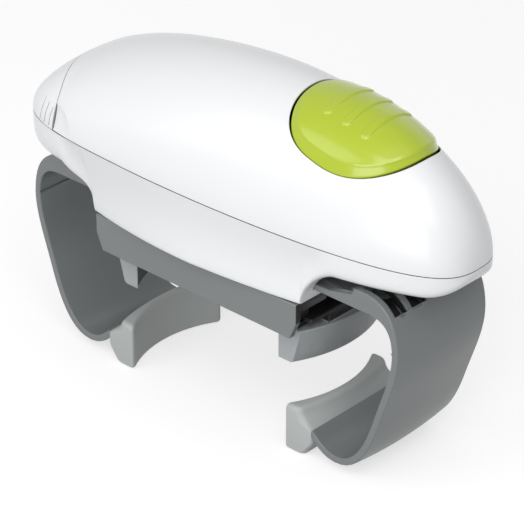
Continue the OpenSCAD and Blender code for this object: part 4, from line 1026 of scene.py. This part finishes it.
# %% The finishes by name
finish = {
    "shell_white": plastic("white shell plastic", (0.84, 0.85, 0.865), 0.30, 0.008, 1200, 0.01, 0.25),
    "button_lime": plastic("lime button plastic", (0.43, 0.54, 0.004), 0.30, 0.03, 1200, 0.01, 0.8),
    "arm_grey": plastic("arm grey plastic", (0.185, 0.20, 0.203), 0.36, 0.03, 1500, 0.05),
    "carriage_grey": plastic("carriage grey plastic", (0.195, 0.21, 0.21), 0.45, 0.03, 1500, 0.05),
    "pad_grey": plastic("pad rubber", (0.46, 0.485, 0.48), 0.6, 0.03, 1500, 0.06),
    "jaw_grey": plastic("jaw grey plastic", (0.38, 0.40, 0.41), 0.5, 0.03, 1500, 0.05),
    "liner_dark": plastic("liner rubber", (0.035, 0.037, 0.04), 0.75, 0.05, 700, 0.15),
    "gear_ivory": plastic("ivory gear plastic", (0.72, 0.68, 0.55), 0.42, 0.03, 900, 0.03),
    "chassis_dark": plastic("dark chassis plastic", (0.03, 0.032, 0.035), 0.5, 0.04, 900, 0.06),
    "rack_dark": plastic("dark rack plastic", (0.045, 0.047, 0.05), 0.45, 0.04, 900, 0.05),
    "cell_wrap": plastic("cell wrap film", (0.03, 0.12, 0.33), 0.25, 0.03, 500, 0.02, 0.6),
    "board_green": plastic("board lacquer", (0.008, 0.12, 0.04), 0.35, 0.08, 300, 0.05, 0.3),
    "switch_black": plastic("switch plastic", (0.015, 0.015, 0.017), 0.4, 0.05, 900, 0.04),
    "gear_brass": metal("cut brass", (0.70, 0.50, 0.19), 0.28),
    "bush_bronze": metal("sintered bronze", (0.50, 0.33, 0.15), 0.5, (300.0, 300.0, 300.0)),
    "steel_bright": metal("turned steel", (0.60, 0.60, 0.62), 0.25, (60.0, 60.0, 900.0)),
    "motor_steel": metal("motor can steel", (0.52, 0.52, 0.54), 0.32, (60.0, 60.0, 900.0)),
    "screw_steel": metal("zinc screw steel", (0.56, 0.57, 0.60), 0.35, (500.0, 500.0, 500.0)),
    "spring_steel": metal("spring wire", (0.55, 0.55, 0.56), 0.3, (900.0, 900.0, 900.0)),
    "contact_nickel": metal("nickel strip", (0.66, 0.63, 0.56), 0.3, (60.0, 900.0, 60.0)),
}
slot_of = {s["node"]: s["material_slot"] for s in frame["record"]["subparts"]}
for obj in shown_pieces():
    key = slot_of[obj.name] if obj.name in slot_of else obj["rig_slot"]
    obj.data.materials.clear()
    obj.data.materials.append(finish[key])
print("finishes:", len(finish))

# %% [markdown]
# ## Stage, light and camera
# The floor and the air are plain and pale. Large soft lamps, most of them in front,
# shape the dome with slow shading, at a level where a colour looks as it is written.
# The camera stands where the photograph's did: its place was fitted to the body's
# seam and to one circle of known size round the middle axis.

# %% Floor and sky
FLOOR_HALF, FLOOR_Z = 3000, -0.05
floor = make_piece("floor", [[x * FLOOR_HALF, y * FLOOR_HALF, FLOOR_Z]
                             for x, y in ((-1, -1), (1, -1), (1, 1), (-1, 1))], [[[0, 1, 2, 3]]])


def seen_rays(tree):
    """A mask of the rays that come straight from the eye, from a mirror or through glass."""
    path = tree.nodes.new("ShaderNodeLightPath")
    mask = path.outputs["Is Camera Ray"]
    for ray in ("Is Glossy Ray", "Is Transmission Ray"):
        either = tree.nodes.new("ShaderNodeMath")
        either.operation = "MAXIMUM"
        link(tree, mask, either.inputs[0])
        link(tree, path.outputs[ray], either.inputs[1])
        mask = either.outputs[0]
    return mask


def floor_finish():
    """A pale floor: its own shade lights the object from below, and the eye sees it white and shadowed."""
    m, tree, shader = material("pale floor")
    shader.inputs["Base Color"].default_value = (*[FLOOR_SHADE] * 3, 1)
    shader.inputs["Roughness"].default_value = 0.9
    shaded = tree.nodes.new("ShaderNodeBsdfDiffuse")
    shaded.inputs["Color"].default_value = (*[SHADOW_DEPTH] * 3, 1)
    glow = tree.nodes.new("ShaderNodeEmission")
    glow.inputs["Strength"].default_value = FLOOR_GLOW
    both = tree.nodes.new("ShaderNodeAddShader")
    mix = tree.nodes.new("ShaderNodeMixShader")
    link(tree, shaded.outputs[0], both.inputs[0])
    link(tree, glow.outputs[0], both.inputs[1])
    link(tree, seen_rays(tree), mix.inputs["Fac"])
    link(tree, shader.outputs[0], mix.inputs[1])
    link(tree, both.outputs[0], mix.inputs[2])
    link(tree, mix.outputs[0], tree.nodes["Material Output"].inputs["Surface"])
    return m


FLOOR_SHADE, SHADOW_DEPTH, FLOOR_GLOW = 0.35, 0.5, 0.62
floor.data.materials.append(floor_finish())

# %% Air
SKY = 0.43
world = bpy.data.worlds.new("studio air")
bpy.context.scene.world = world
world.use_nodes = True
tree = world.node_tree
sky = tree.nodes["Background"]
sky.inputs["Color"].default_value = (1, 1, 1, 1)
sky.inputs["Strength"].default_value = SKY
white = tree.nodes.new("ShaderNodeBackground")
mix = tree.nodes.new("ShaderNodeMixShader")
link(tree, seen_rays(tree), mix.inputs["Fac"])
link(tree, sky.outputs[0], mix.inputs[1])
link(tree, white.outputs[0], mix.inputs[2])
link(tree, mix.outputs[0], tree.nodes["World Output"].inputs["Surface"])


# %% Lamps
def softbox(name, place, aim, size, power):
    """A square area lamp at place, turned towards aim; metres and watts."""
    data = bpy.data.lights.new(name, "AREA")
    data.shape, data.size, data.energy = "SQUARE", size, power
    lamp = bpy.data.objects.new(name, data)
    bpy.context.scene.collection.objects.link(lamp)
    lamp.location = place
    lamp.rotation_mode = "QUATERNION"
    lamp.rotation_quaternion = (Vector(aim) - Vector(place)).to_track_quat("-Z", "Y")
    return lamp


AIM = (0.005, 0, 0.08)
LAMPS = [("key light", (-0.30, -0.70, 0.60), 0.6, 1.7), ("front light", (0.45, -0.50, 0.80), 0.6, 2.7),
         ("low light", (0.35, -0.85, 0.28), 0.6, 3.1), ("high right light", (0.45, -0.10, 0.95), 0.6, 0.5),
         ("back light", (-0.10, 0.90, 0.60), 0.6, 0.25)]
for name, place, size, power in LAMPS:
    softbox(name, place, AIM, size, power)

# %% Camera
FOCAL_PX, IMAGE_PX, DISTANCE = 2587.8, 524, 914.78
CENTRE_X, CENTRE_Y = 251.35, 171.59
AXIS_Z = 87.5
right = np.array([0.7348, 0.6783, 0.0])
back_v = np.array([0.5907, -0.6399, 0.4917])
up = np.array([-0.3335, 0.3613, 0.8709])
off_x = (CENTRE_X - IMAGE_PX / 2) * DISTANCE / FOCAL_PX
off_y = -(CENTRE_Y - IMAGE_PX / 2) * DISTANCE / FOCAL_PX
eye = -off_x * right - off_y * up + DISTANCE * back_v + np.array([0, 0, AXIS_Z])
cam_data = bpy.data.cameras.new("camera")
cam_data.sensor_width = 36.0
cam_data.lens = FOCAL_PX * 36.0 / IMAGE_PX
camera = bpy.data.objects.new("camera", cam_data)
bpy.context.scene.collection.objects.link(camera)
camera.location = (eye * MM).tolist()
camera.rotation_mode = "QUATERNION"
camera.rotation_quaternion = Vector((-back_v).tolist()).to_track_quat("-Z", "Y")
bpy.context.scene.camera = camera
bpy.context.scene.view_settings.view_transform = "Standard"
print("eye at", eye.round(1), "mm, lens", round(cam_data.lens, 1))
